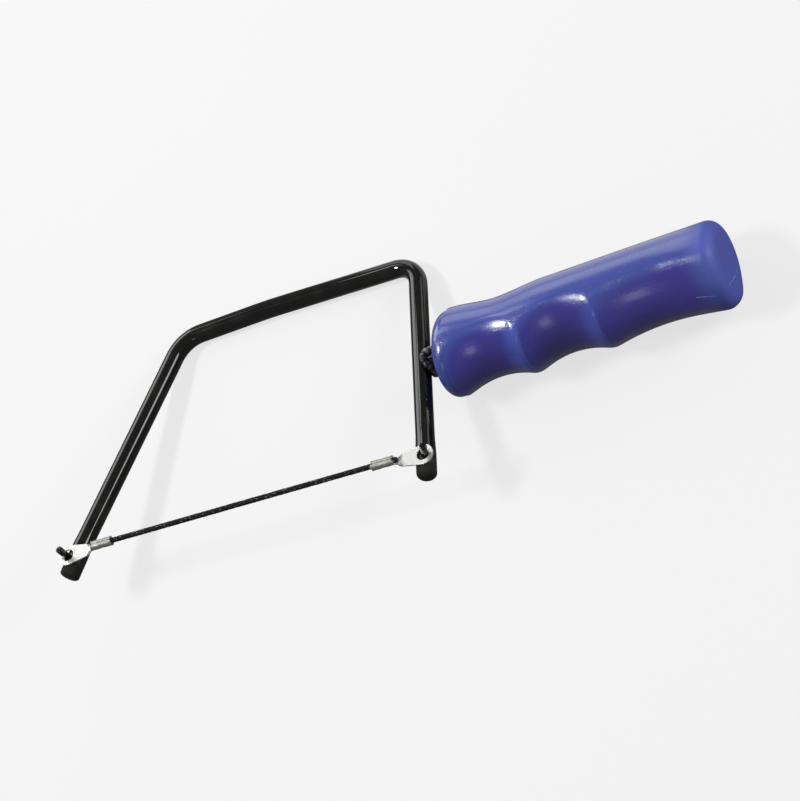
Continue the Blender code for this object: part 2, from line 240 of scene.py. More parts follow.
def mesh_object(name: str, points: Array, faces: list[list[int]], sharp: float) -> Piece:
    """Put points and faces into a mesh and add it to the scene.

    Args:
        name: Name of the object and its mesh.
        points: Points in millimetres on the saw's axes.
        faces: Corner numbers of each face.
        sharp: Angle in degrees past which an edge is shaded sharp.

    Returns:
        The new object.
    """
    mesh = bpy.data.meshes.new(name)
    mesh.from_pydata(SAW.place(points).tolist(), [], faces)
    mesh.shade_smooth()
    mesh.set_sharp_from_angle(angle=math.radians(sharp))
    return add_object(name, mesh)


def add_object(name: str, data: bpy.types.ID) -> Piece:
    """Add an object with a mesh, a light or a camera in it to the scene.

    Args:
        name: Name of the object.
        data: What it holds.

    Returns:
        The new object.
    """
    obj = bpy.data.objects.new(name, data)
    bpy.context.scene.collection.objects.link(obj)
    return obj


def put_mark(obj: Piece, mark: str, values: Array) -> None:
    """Store one number for each point of a piece, under a name that its finish reads."""
    attribute = obj.data.attributes.new(mark, "FLOAT", "POINT")
    attribute.data.foreach_set("value", values.astype(np.float32))


def finish_piece(obj: Piece, body: Body, node: str, material: Material) -> None:
    """Dress a piece and tie it to the body and the solid that it stands for.

    Args:
        obj: The piece.
        body: Body that it rides on.
        node: Solid that it replaces.
        material: Its finish.
    """
    obj.data.materials.append(material)
    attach(obj, body.value)
    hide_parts(node)
    log.info("%s: %d faces, rides on %s", obj.name, len(obj.data.polygons), body.value)


def bent_line(corners: Array, radii: tuple[float, ...], pitch: float, steps: int = 49) -> Array:
    """A flat line through corners, with every inner corner rounded to its own radius.

    Each bend is start + ahead r sin t + inward r (1 - cos t), for t from nought to the angle of the turn.
    The line is then read off at even steps of its length.

    Args:
        corners: Corner points in millimetres, two numbers each.
        radii: One radius for each inner corner.
        pitch: Step along the line.
        steps: Points in each bend.

    Returns:
        Points along the line, both ends included.
    """
    stretches = [corners[:1]]
    for before, corner, after, radius in zip(corners, corners[1:], corners[2:], radii):
        ahead = unit(corner - before)
        leaving = unit(after - corner)
        cross = ahead[0] * leaving[1] - ahead[1] * leaving[0]
        turn = math.atan2(abs(cross), float(ahead @ leaving))
        inward = np.array((-ahead[1], ahead[0])) * math.copysign(1.0, cross)
        angle = np.linspace(0.0, turn, steps)[:, None]
        start = corner - ahead * radius * math.tan(turn / 2)
        stretches.append(start + ahead * radius * np.sin(angle) + inward * radius * (1 - np.cos(angle)))
    line = np.concatenate(stretches + [corners[-1:]])
    run = np.concatenate(([0.0], np.cumsum(np.linalg.norm(np.diff(line, axis=0), axis=1))))
    return read_off(line, run, np.linspace(0.0, run[-1], round(run[-1] / pitch) + 1))


def turned_grid(foot: Array, axis: Array, profile: Array, sides: int) -> Array:
    """A turned shape: foot + axis h + r (cos t side + sin t other), for each (h, r) of the profile.

    Args:
        foot: Point on the axis from which heights are measured.
        axis: Direction of the axis.
        profile: Heights along the axis and radii, in millimetres.
        sides: Places round each ring.

    Returns:
        The grid of rings.
    """
    askew = np.array((0.31, 0.87, -0.22))
    axis = unit(axis)
    side = unit(np.cross(axis, askew))
    angle = all_round(sides)[:, None]
    ring = np.cos(angle) * side + np.sin(angle) * np.cross(axis, side)
    return foot + profile[:, :1, None] * axis + profile[:, 1:, None] * ring


def rounded_edge(radius: float, edge: float, steps: int = 9) -> Array:
    """Heights and radii that round over the end of a bar, from the flat of the tip to the full radius."""
    angle = np.linspace(0.0, math.pi / 2, steps)
    return joined(edge * (1 - np.cos(angle)), radius - edge * (1 - np.sin(angle)))


class Value:
    """A number that varies over a surface, so that shader maths is written as plain sums."""

    def __init__(self, shader: "Shader", socket: bpy.types.NodeSocket) -> None:
        """Wrap one output socket of a shader's nodes."""
        self.shader = shader
        self.socket = socket

    def math(self, operation: str, first: Number, second: Number) -> "Value":
        """Add one Math node."""
        return self.shader.node("ShaderNodeMath", {"operation": operation}, {0: first, 1: second})

    def __add__(self, other: Number) -> "Value":
        """This plus another."""
        return self.math("ADD", self, other)

    def __radd__(self, other: Number) -> "Value":
        """A number plus this."""
        return self.math("ADD", other, self)

    def __sub__(self, other: Number) -> "Value":
        """This less another."""
        return self.math("SUBTRACT", self, other)

    def __rsub__(self, other: Number) -> "Value":
        """A number less this."""
        return self.math("SUBTRACT", other, self)

    def __mul__(self, other: Number) -> "Value":
        """This times another."""
        return self.math("MULTIPLY", self, other)

    def __rmul__(self, other: Number) -> "Value":
        """A number times this."""
        return self.math("MULTIPLY", other, self)

    def at_most(self, other: Number) -> "Value":
        """The smaller of the two."""
        return self.math("MINIMUM", self, other)

    def at_least(self, other: Number) -> "Value":
        """The larger of the two."""
        return self.math("MAXIMUM", self, other)

    def step(self, low: float, high: float) -> "Value":
        """Nought below low and one above high, eased between; the other way round if low is the larger."""
        bounds = {"From Min": low, "From Max": high, "Value": self}
        return self.shader.node("ShaderNodeMapRange", {"interpolation_type": "SMOOTHSTEP"}, bounds)


class Shader:
    """One material: its nodes, and the Principled shader that they feed."""

    def __init__(self, name: str, fixed: dict[str, Any]) -> None:
        """Start a material.

        Args:
            name: Name of the material.
            fixed: Sockets of the Principled shader that are the same all over.
        """
        self.material = bpy.data.materials.new(name)
        self.material.use_nodes = True
        self.tree = self.material.node_tree
        self.surface = self.tree.nodes["Principled BSDF"]
        for socket, setting in fixed.items():
            self.surface.inputs[socket].default_value = setting
        self.spot = self.node("ShaderNodeTexCoord", output="Object")

    def node(
        self,
        kind: str,
        settings: dict[str, Any] | None = None,
        inputs: dict[str | int, Any] | None = None,
        output: str | int = 0,
    ) -> Value:
        """Add a node.

        Args:
            kind: Node type.
            settings: Properties, set first.
            inputs: Numbers, or values to link, by socket.
            output: Which output to return.

        Returns:
            The output, ready for more maths.
        """
        node = self.tree.nodes.new(kind)
        for name, setting in (settings or {}).items():
            setattr(node, name, setting)
        for name, given in (inputs or {}).items():
            self.join(node.inputs[name], given)
        return Value(self, node.outputs[output])

    def join(self, socket: bpy.types.NodeSocket, given: Any) -> None:
        """Link a value to a socket, or set a plain number there.

        Args:
            socket: The socket.
            given: The value or the number.
        """
        if isinstance(given, Value):
            self.tree.links.new(given.socket, socket)
        else:
            socket.default_value = given

    def feed(self, **inputs: Value) -> Material:
        """Link values to the Principled shader.

        Args:
            inputs: Values by socket name, with _ for a space.

        Returns:
            The finished material.
        """
        for name, value in inputs.items():
            self.join(self.surface.inputs[name.replace("_", " ")], value)
        return self.material

    def vector(self, operation: str, first: Any, second: Any) -> Value:
        """Add one Vector Math node.

        Args:
            operation: What it does.
            first: A vector.
            second: Another, or the number to scale the first by.

        Returns:
            The vector, or the number for a dot product or a distance.
        """
        other = "Scale" if operation == "SCALE" else 1
        output = "Value" if operation in ("DOT_PRODUCT", "DISTANCE") else "Vector"
        return self.node("ShaderNodeVectorMath", {"operation": operation}, {0: first, other: second}, output)

    def noise(self, pitch: float, detail: float = 2.0, spot: Value | None = None) -> Value:
        """Cloudy noise from nought to one, with lumps about pitch millimetres apart."""
        inputs = {"Vector": spot or self.spot, "Scale": 1 / (pitch * MM), "Detail": detail}
        return self.node("ShaderNodeTexNoise", {}, inputs)

    def specks(self, pitch: float, size: float) -> Value:
        """Round specks, one in each cell of about pitch millimetres: one in the middle of a speck."""
        near = self.node("ShaderNodeTexVoronoi", {}, {"Vector": self.spot, "Scale": 1 / (pitch * MM)})
        return near.step(size / pitch, 0.5 * size / pitch)

    def streaks(self, along: Array, length: float, pitch: float) -> Value:
        """Noise drawn out along a direction of the saw, by shortening that part of the place.

        Args:
            along: The direction, on the saw's axes.
            length: Length of a streak in millimetres.
            pitch: Distance between streaks.

        Returns:
            The noise, from nought to one.
        """
        way = unit(SAW.turn(along))
        lift = self.vector("SCALE", way, self.vector("DOT_PRODUCT", self.spot, way))
        flat = self.vector("SUBTRACT", self.spot, lift)
        slow = self.vector("SCALE", lift, pitch / length)
        return self.noise(pitch, 3.0, self.vector("ADD", flat, slow))

    def scratch(self, start: Array, end: Array, width: float) -> Value:
        """A scratch between two points, by distance to their line: one on it, and nought at width from it.

        Args:
            start: First end, in millimetres on the saw's axes.
            end: Second end.
            width: Half width in millimetres.

        Returns:
            The mask.
        """
        foot, tip = SAW.place(start), SAW.place(end)
        way = unit(tip - foot)
        offset = self.vector("SUBTRACT", self.spot, foot)
        run = self.vector("DOT_PRODUCT", offset, way)
        held = run.at_least(0.0).at_most(float(np.linalg.norm(tip - foot)))
        gap = self.vector("DISTANCE", offset, self.vector("SCALE", way, held))
        return gap.step(width * MM, 0.3 * width * MM)

    def mark(self, name: str) -> Value:
        """A number stored on the piece's points."""
        return self.node("ShaderNodeAttribute", {"attribute_name": name}, {}, "Fac")

    def mix(self, share: Number, first: Colour | Value, second: Colour | Value) -> Value:
        """A colour between two, by share."""
        ends = [end if isinstance(end, Value) else (*end, 1.0) for end in (first, second)]
        return self.node("ShaderNodeMix", {"data_type": "RGBA"}, {0: share, 6: ends[0], 7: ends[1]}, 2)

    def bump(self, height: Value, depth: float) -> Value:
        """A normal from heights, where a height of one stands depth millimetres proud."""
        return self.node("ShaderNodeBump", {}, {"Height": height, "Distance": depth * MM}, "Normal")


@dataclass(frozen=True)
class BlackLacquer:
    """Gloss black dip lacquer with a faint sag in it, dusty and matt where it dried on the cut ends."""

    colour: Colour = (0.004, 0.004, 0.0035)
    thin_colour: Colour = (0.012, 0.011, 0.009)
    dust_colour: Colour = (0.11, 0.105, 0.09)
    gloss: float = 0.05
    matt: float = 1.0  # roughness at the cut ends
    relief: float = 0.12  # height of its peel and dust

    def make(self) -> Material:
        """Build the material.

        Returns:
            The material.
        """
        shader = Shader("black_lacquer", {"IOR": 1.5})
        ends = shader.mark("near_end")
        cloud = shader.noise(pitch=9.0, detail=3.0)
        peel = shader.noise(pitch=1.1, detail=1.0)
        grit = shader.noise(pitch=0.45)
        dust = shader.specks(pitch=1.9, size=0.13) * cloud.step(0.42, 0.62) * (0.15 + 0.85 * ends)
        thin = shader.mix(cloud.step(0.45, 0.8), self.colour, self.thin_colour)
        rough = self.gloss + 0.04 * cloud + (self.matt - self.gloss) * ends * (0.8 + 0.2 * grit)
        return shader.feed(
            Base_Color=shader.mix(dust, thin, self.dust_colour),
            Roughness=rough + 0.3 * dust,
            Normal=shader.bump(0.05 * peel + 0.05 * grit * ends + 0.12 * dust, self.relief),
        )


@dataclass(frozen=True)
class BluePlastic:
    """Moulded blue plastic with a fine skin grain and a few scuffs.

    Its colour carries painted highlight on the ridges and the butt, and painted shade in the scoops.
    """

    colour: Colour = (0.045, 0.066, 0.31)
    # painted shade in the scoops
    painted_hollow_shade_colour: Colour = (0.041, 0.030, 0.275)
    painted_floor_shade_colour: Colour = (0.025, 0.019, 0.148)  # painted shade on the floors of the scoops
    # painted highlight on the ridges
    painted_ridge_light_colour: Colour = (0.066, 0.096, 0.50)
    scuff_colour: Colour = (0.42, 0.45, 0.72)
    # painted light on the butt
    painted_butt_light_colour: Colour = (0.066, 0.088, 0.395)
    sheen: float = 0.25
    butt_sheen: float = 0.58
    polish: float = 0.50  # weight of the shine that hands leave on the skin
    polish_sheen: float = 0.14
    relief: float = 0.17
    scuffs: tuple[tuple[Array, Array, float, float], ...] = ()  # two ends, half width and depth of each

    def make(self) -> Material:
        """Build the material.

        Returns:
            The material.
        """
        shader = Shader("blue_plastic", {"IOR": 1.55, "Coat Roughness": self.polish_sheen})
        cloud = shader.noise(pitch=14.0, detail=3.0)
        grain = shader.noise(pitch=0.52)
        flow = shader.streaks(np.array((1.0, 0.05, 0.0)), length=30.0, pitch=1.2)
        butt = shader.mark("butt")
        # painted highlight: the proud ridges are painted a paler blue, trailing off towards the front
        ridge_light = shader.mark("ridge") * (0.5 + 0.5 * cloud.step(0.3, 0.7))
        scuffed = shader.specks(pitch=7.0, size=0.16) * cloud.step(0.5, 0.66)
        for start, end, width, depth in self.scuffs:
            scuffed = scuffed + depth * shader.scratch(start, end, width) * grain.step(0.34, 0.5)
        uneven = cloud - 0.5
        # painted shade: the scoops are painted darker and more violet, their deep floors darker still
        body = shader.mix(0.85 * shader.mark("hollow") + 0.25 * uneven, self.colour, self.painted_hollow_shade_colour)
        painted_shade = shader.mix(0.8 * shader.mark("depth"), body, self.painted_floor_shade_colour)
        # painted light: the butt is painted a paler blue, and the ridges get their painted highlight
        painted_base = shader.mix(0.8 * ridge_light, shader.mix(butt, painted_shade, self.painted_butt_light_colour), self.painted_ridge_light_colour)
        dull = self.sheen + (self.butt_sheen - self.sheen) * butt
        rough = dull + 0.10 * uneven + 0.08 * (flow - 0.5) + 0.10 * (grain - 0.5)
        coarse = shader.mark("coarse") * (0.5 + cloud.step(0.45, 0.6))
        height = (0.14 + 0.45 * coarse) * grain + 0.3 * flow - 0.7 * scuffed
        return shader.feed(
            Base_Color=shader.mix(scuffed.at_most(0.8), painted_base, self.scuff_colour),
            Roughness=rough + 0.25 * scuffed,
            Coat_Weight=self.polish * (1 - butt),
            Normal=shader.bump(height, self.relief),
        )


@dataclass(frozen=True)
class ZincPlate:
    """Bright zinc on stamped steel, faintly drawn along the strip, with duller stains in the crimp.

    The cut rims carry a painted highlight.
    """

    colour: Colour = (0.66, 0.66, 0.65)
    stain_colour: Colour = (0.36, 0.355, 0.31)
    painted_rim_highlight_colour: Colour = (0.72, 0.72, 0.69)
    gloss: float = 0.32
    relief: float = 0.03

    def make(self) -> Material:
        """Build the material.

        Returns:
            The material.
        """
        shader = Shader("zinc_plate", {"Metallic": 1.0})
        cloud = shader.noise(pitch=2.6, detail=3.0)
        drawn = shader.streaks(np.array((1.0, 0.0, 0.0)), length=8.0, pitch=0.22)
        crimp = shader.mark("crimp")
        stained = shader.mix(crimp * cloud.step(0.15, 0.5), self.colour, self.stain_colour)
        return shader.feed(
            # painted highlight: the cut rims are painted paler
            Base_Color=shader.mix(0.6 * shader.mark("cut_edge"), stained, self.painted_rim_highlight_colour),
            Roughness=self.gloss + 0.10 * cloud + 0.08 * drawn + 0.24 * crimp,
            Normal=shader.bump(0.6 * drawn + 0.4 * cloud, self.relief),
        )


@dataclass(frozen=True)
class CarbideGrit:
    """Black binder full of angular carbide grains.

    Some grains are painted light grey as glints, and are also metallic and smoother.
    """

    binder_colour: Colour = (0.004, 0.004, 0.004)
    grain_colour: Colour = (0.010, 0.010, 0.009)
    painted_glint_colour: Colour = (0.50, 0.50, 0.46)
    dull: float = 0.62
    relief: float = 0.04

    def make(self) -> Material:
        """Build the material.

        Returns:
            The material.
        """
        shader = Shader("carbide_grit", {"IOR": 1.4, "Specular IOR Level": 0.25})
        chip = shader.noise(pitch=0.2)
        proud = shader.mark("grain").step(0.25, 0.6)
        # painted glints: a few grains are painted light grey
        painted_glint = shader.mark("glint").step(0.86, 0.93) * proud
        body = shader.mix(proud * chip.step(0.3, 0.7), self.binder_colour, self.grain_colour)
        return shader.feed(
            Base_Color=shader.mix(painted_glint, body, self.painted_glint_colour),
            Roughness=self.dull - 0.30 * painted_glint - 0.12 * proud,
            Metallic=0.55 * painted_glint,
            Normal=shader.bump(chip, self.relief),
        )


@dataclass(frozen=True)
class WeldSteel:
    """Weld metal under a thin, broken coat of lacquer: grey on the crests and black in the valleys.

    The grey is partly rubbed-off lacquer and partly painted light, kept to one side round the tang.
    """

    lacquer_colour: Colour = (0.010, 0.010, 0.009)
    steel_colour: Colour = (0.36, 0.36, 0.33)
    gloss: float = 0.30
    relief: float = 0.08

    def make(self) -> Material:
        """Build the material.

        Returns:
            The material.
        """
        shader = Shader("weld_bead", {"IOR": 1.5})
        fleck = shader.noise(pitch=0.5, detail=3.0)
        # painted light: grey crests only on one side round the tang, partly rubbed lacquer
        bare_and_lit = shader.mark("crest").step(0.40, 0.85) * fleck.step(0.25, 0.55)
        return shader.feed(
            Base_Color=shader.mix(bare_and_lit, self.lacquer_colour, self.steel_colour),
            Roughness=self.gloss + 0.20 * fleck,
            Metallic=0.5 * bare_and_lit,
            Normal=shader.bump(fleck, self.relief),
        )


@dataclass
class Bow:
    """The bent rod and the two pins that stand on its ends."""

    rod_radius: float = ROD_RADIUS
    bar_height: float = 86.6
    rear_tail: float = 7.7  # below the blade's line
    front_corner: Span = (-100.1, 84.2)  # where the top bar and the front leg would meet
    front_lean: float = math.radians(29.1)
    front_tail: float = 6.8
    bar_kink: Span = (-63.0, 86.3)
    bends: tuple[float, float, float] = (9.0, 200.0, 14.4)  # at the rear, at the bar's kink and at the front
    end_kick: float = 0.75  # how far the front end kicks back
    kick_height: float = 6.0
    kick_bend: float = 40.0
    rear_round: float = 2.4
    front_round: float = 1.2
    oval: float = 0.03  # share by which a sharp bend flattens the rod
    oval_spread: int = 7  # rings over which that is evened out
    pitch: float = 0.9  # between rings
    ring_gap: float = 0.2  # between a rounded end and the even rings
    sides: int = 64  # places round a ring
    drip: float = 0.28  # how much thicker the lacquer is at the ends
    drip_run: Span = (9.0, 19.0)  # distances from an end between which it thins out
    matt_run: Span = (4.0, 8.5)  # distances from an end between which the gloss comes back
    lump: float = 0.006  # height of the lumps in the lacquer
    lump_pitch: float = 1.7
    lump_sink: float = 2.0  # how far they are sunk, in lumps
    pin_radius: float = 1.36
    pin_root: float = 1.2  # below the rod's centre line
    pin_tip: float = 10.2  # above it
    pin_round: float = 0.4
    pin_fillet: float = 0.60  # of lacquer, at a pin's foot
    pin_sides: int = 40
    pin_lump: float = 0.012
    pin_lump_pitch: float = 0.9
    fillet_rings: int = 9
    shank_rings: int = 10
    pin_shank: Span = (0.5, 0.8)  # margins of the straight part above the fillet and below the tip
    tip_matt: float = 0.05  # dullness of a pin's tip
    tip_run: Span = (0.5, 3.0)  # distances from the tip between which that fades
    rear_lean: float = PIN_LEAN
    front_pin_x: float = -148.5

    def centre_line(self) -> Array:
        """Lay out the rod's centre line through its corners.

        Returns:
            Points from the rear end over the top bar to the front end, two numbers each.
        """
        heights = np.array((self.kick_height, -self.front_tail))
        front = self.front_corner[0] - (self.front_corner[1] - heights) * math.tan(self.front_lean)
        kick, tip = joined(front + (0.0, self.end_kick), heights)
        rear, top = (0.0, -self.rear_tail), (0.0, self.bar_height)
        corners = np.array((rear, top, self.bar_kink, self.front_corner, kick, tip))
        return bent_line(corners, (*self.bends, self.kick_bend), self.pitch)

    def rod(self) -> Skin:
        """The rod: a ring carried along the centre line, rounded at its ends and a little oval in its bends.

        A ring is centre + r (a cos t inward + b sin t Z), with a under one and b over one by the share of
        oval times the bend's sharpness. Both ends are thicker and a little lumpy where the lacquer dried.

        Returns:
            The skin, marked by how near it is to an end.
        """
        line = self.centre_line()
        run = np.linalg.norm(np.diff(line, axis=0), axis=1).sum()
        stations = np.linspace(0.0, run, len(line))
        rear = rounded_edge(self.rod_radius, self.rear_round)
        front = rounded_edge(self.rod_radius, self.front_round)[::-1]
        first, last = self.rear_round + self.ring_gap, run - self.front_round - self.ring_gap
        middle = stations[(stations > first) & (stations < last)]
        places = np.concatenate((rear[:, 0], middle, run - front[:, 0]))
        radii = np.concatenate((rear[:, 1], np.full(len(middle), self.rod_radius), front[:, 1]))
        to_end = np.minimum(places, run - places)
        radii = radii * (1 + self.drip / self.rod_radius * (1 - ease(to_end, *self.drip_run)))
        spine = joined(*read_off(line, stations, places).T, 0.0)[:, None]
        way = unit(read_off(unit(np.gradient(line, axis=0)), stations, places))
        bend = np.linalg.norm(np.gradient(way, places, axis=0), axis=1) * self.bends[0]
        evened = np.convolve(bend, np.ones(self.oval_spread) / self.oval_spread, mode="same")
        squeeze = self.oval * np.clip(evened, 0.0, 1.0)
        inward = joined(-way[:, 1], way[:, 0], 0.0)[:, None]
        angle = all_round(self.sides)[:, None]
        flat = (radii * (1 - squeeze))[:, None, None] * np.cos(angle) * inward
        tall = (radii * (1 + squeeze / 2))[:, None, None] * np.sin(angle) * np.array((0.0, 0.0, 1.0))
        grid = spine + flat + tall
        near_end = np.repeat(1 - ease(to_end, *self.matt_run)[:, None], self.sides, axis=1)
        lumps = self.lump * near_end * (roughness_of(grid, self.lump_pitch, LUMP_SEED) - self.lump_sink)
        return Skin(grid + unit(grid - spine) * lumps[..., None], marks={"near_end": near_end})

    def pin(self, end: End) -> Skin:
        """A headless pin turned about its own axis, with a fillet of lacquer at its foot and a soft tip.

        Args:
            end: Which end of the blade it carries.

        Returns:
            The skin, marked by the dullness of its tip.
        """
        rear = end is End.REAR
        lean = self.rear_lean if rear else 0.0
        axis = np.array((math.sin(lean), 0.0, math.cos(lean)))
        foot = np.array((0.0 if rear else self.front_pin_x, 0.0, 0.0))
        tip = self.pin_tip / math.cos(lean)
        low, high = self.rod_radius - self.pin_fillet, self.rod_radius + self.pin_fillet
        climb = np.linspace(low, high, self.fillet_rings)
        fillet = self.pin_fillet * (1 - np.sin(np.linspace(0.0, math.pi / 2, len(climb))))
        cap = rounded_edge(self.pin_radius, self.pin_round)[::-1]
        shank = np.linspace(climb[-1] + self.pin_shank[0], tip - self.pin_shank[1], self.shank_rings)
        profile = np.concatenate(
            (
                ((-self.pin_root, self.pin_radius),),
                joined(climb, self.pin_radius + fillet),
                joined(shank, self.pin_radius),
                joined(tip - cap[:, 0], cap[:, 1]),
            )
        )
        grid = turned_grid(foot, axis, profile, self.pin_sides)
        dull = self.tip_matt * (1 - ease(tip - profile[:, :1], *self.tip_run))
        lumps = self.pin_lump * roughness_of(grid, self.pin_lump_pitch, PIN_SEED + end.value)
        grid = grid + lumps[..., None] * unit(grid - foot)
        return Skin(grid, marks={"near_end": np.repeat(dull, self.pin_sides, axis=1)})

    def build(self, lacquer: Material) -> None:
        """Make and dress the rod and its pins.

        Args:
            lacquer: Finish of all three.
        """
        finish_piece(self.rod().build("bow_rod"), Body.FRAME, "bow_frame", lacquer)
        for end in End:
            node = f"{end.name.lower()}_pin"
            finish_piece(self.pin(end).build(f"{node}_stud"), Body.FRAME, node, lacquer)


@dataclass
class Handle:
    """The moulded grip, the tang inside it and the weld that joins the tang to the bow."""

    height: float = 41.0  # of the grip's axis above the blade's line, at the rear leg
    rise: float = math.radians(2.75)  # slope of the axis
    front: float = 10.0  # place of the front face along the axis
    end: float = 122.6  # place of the butt
    # How far the front face leans back for each millimetre upward
    front_slant: float = math.tan(math.radians(9.0))
    butt_slant: float = math.tan(math.radians(3.0))
    lip_round: float = 5.0
    butt_round: float = 5.0
    # Place and radius of stations on the top
    top: tuple[Span, ...] = (
        (10.0, 16.8), (15.0, 16.8), (34.0, 14.7), (54.0, 16.1), (100.0, 16.35), (122.6, 16.3)
    )
    # The same on the underside, where the third and the fourth are the ridges between scoops
    underside: tuple[Span, ...] = (
        (10.0, 16.2), (15.0, 16.7), (42.4, 17.5), (72.3, 17.5), (100.0, 17.2), (122.6, 17.3)
    )
    # Place, least radius, radius of the arc and edge angle in degrees of each finger scoop
    scoops: tuple[tuple[float, float, float, float], ...] = (
        (28.9, 13.2, 34.5, 86.0), (58.2, 13.2, 35.5, 84.0), (94.2, 14.1, 92.0, 79.0)
    )
    ridge_round: float = 1.2
    softness: Span = (1.0, 2.5)  # rounding where a scoop runs out, past a ridge and at the scoop's rear
    soft_rise: Span = (-3.0, 8.0)  # places past a scoop's middle between which it grows
    soft_fall: Span = (-1.5, 2.5)  # places past a ridge between which it falls back
    swell: float = 0.95  # of the sides, before the butt
    swell_run: Span = (94.5, 108.5)  # places between which it sets in
    swell_width: float = math.radians(16.0)  # angle over which it fades
    # Up from the underside, where the swell and the coarse grain are greatest
    skin_angle: float = math.radians(70.0)
    skin_width: float = math.radians(17.0)  # angle over which that grain fades
    ridge_reach: int = 6  # rings to either side by which a ridge's proudness is measured
    ridge_proud: Span = (0.3, 0.8)  # proudness between which the painted highlight sets in
    ridge_trail: int = 14  # rings over which the painted highlight fades towards the front
    ridge_calm: float = 0.7  # share of the coarse grain taken off where the ridges get painted highlight
    ridge_margins: tuple[int, int] = (40, 60)  # rings at the front and the rear without a ridge
    hollow_depth: Span = (0.25, 1.5)  # depths between which a scoop's painted shade sets in
    floor_depth: Span = (2.2, 4.3)  # depths between which a scoop's floor gets darker painted shade
    butt_fade: float = 8.0  # how far before the butt's edge its painted light and its roughness and coat set in
    bore_radius: float = 4.35
    bore_depth: float = 109.0  # place of the bore's bottom
    mouth_round: float = 0.4
    sides: int = 224
    rings: int = 280  # along the skin
    bore_rings: int = 24
    face_rings: int = 12
    cap_rings: int = 16
    edge_rings: int = 14
    cap_tip: float = 0.4  # radius at which the butt closes
    rod_radius: float = ROD_RADIUS
    tang_start: float = 1.0
    tang_end: float = 106.0
    tang_sides: int = 56
    tang_rings: int = 60
    barb_gap: float = 1.0  # between the straight part and the first barb
    tang_matt: float = 0.05
    barbs: int = 4
    barb_pitch: float = 5.0
    barb_height: float = 0.5
    weld_radius: float = 1.35
    weld_offset: float = 0.7  # how far the bead's middle stands off both rods
    weld_saddle: float = 0.93  # how closely the bead follows the rod's round
    weld_ripples: int = 15
    ripple_lean: float = 1.1  # along the bead
    ripple_sway: float = 0.5  # unevenness of the ripples' distances
    ripple_height: float = 0.20  # as a share of the bead's radius
    ripple_edge: float = 0.7  # power that sharpens the valleys between ripples
    weld_lump: float = 0.10  # as a share of the bead's radius
    weld_lump_pitch: float = 2.4
    weld_heart: float = 0.6  # share of the reach from which the bead's rings face away
    painted_light_angle: float = math.radians(35.0)  # angle round the tang of the side with painted light, where the crests show grey steel
    painted_light_run: Span = (0.2, 0.85)  # cosines from that angle between which that sets in
    weld_steps: int = 240
    weld_sides: int = 48

    def axes(self) -> Array:
        """The grip's up, out and along, as rows on the saw's axes."""
        sine, cosine = math.sin(self.rise), math.cos(self.rise)
        return np.array(((-sine, cosine, 0.0), (0.0, 0.0, 1.0), (cosine, sine, 0.0)))

    def stand(self, up: Array, out: Array, along: Array) -> Array:
        """Points of the grip's own axes, on the saw's axes."""
        return np.array((0.0, self.height, 0.0)) + joined(up, out, along) @ self.axes()

    def lean(self, place: Array, up: Array, out: Array) -> Array:
        """Lean the ends of the upright grip back, each by its own slant and the rest in between.

        Args:
            place: Places along the grip's axis.
            up: Heights above the axis.
            out: Distances out of the side that the pins stand on.

        Returns:
            Points on the saw's axes.
        """
        share = (place - self.front) / (self.end - self.front)
        slant = self.front_slant + (self.butt_slant - self.front_slant) * share
        return self.stand(up, out, place + up * slant)

    @staticmethod
    def station(stations: tuple[Span, ...], place: Array) -> Array:
        """Radius at places along the grip, eased between the stations on either side.

        Args:
            stations: Place and radius of each station.
            place: Places along the grip's axis.

        Returns:
            Radii in millimetres.
        """
        at, radius = np.array(stations).T
        low = np.clip(np.searchsorted(at, place) - 1, 0, len(at) - 2)
        return radius[low] + (radius[low + 1] - radius[low]) * ease(place, at[low], at[low + 1])

    def plain_radius(self, place: Array, angle: Array) -> Array:
        """Radius without scoops, from the underside's to the top's by half of one plus the angle's cosine.

        Before the butt a swell is added on the sides: a bell over the angle, eased in along the grip.

        Args:
            place: Places along the grip's axis.
            angle: Angles in radians from the middle of the underside.

        Returns:
            Radii in millimetres.
        """
        top = self.station(self.top, place)
        side = np.abs(np.mod(angle + math.pi, TAU) - math.pi)
        swell = self.swell * np.exp(-(((side - self.skin_angle) / self.swell_width) ** 2))
        plain = top + (self.station(self.underside, place) - top) * (1 + np.cos(angle)) / 2
        return plain + swell * ease(place, *self.swell_run)

    def edge_width(self, place: Array) -> Array:
        """Rounding where a scoop runs out: crisp just past a ridge, and softer towards the scoop's rear end.

        Args:
            place: Places along the grip's axis.

        Returns:
            Widths in millimetres.
        """
        past_end = 2 * self.end
        late = np.zeros(np.shape(place))
        for scoop, ridge in zip(self.scoops, (self.underside[2][0], self.underside[3][0], past_end)):
            rise = ease(place - scoop[0], *self.soft_rise)
            late = late + rise * (1 - ease(place - ridge, *self.soft_fall))
        return self.softness[0] + (self.softness[1] - self.softness[0]) * late

    @staticmethod
    def soft_least(one: Array, other: Array, width: float | Array) -> Array:
        """The lesser of two radii, rounded by a parabola where they differ by less than a width."""
        share = np.clip(width - np.abs(one - other), 0.0, None) / width
        return np.minimum(one, other) - share**2 * width / 4

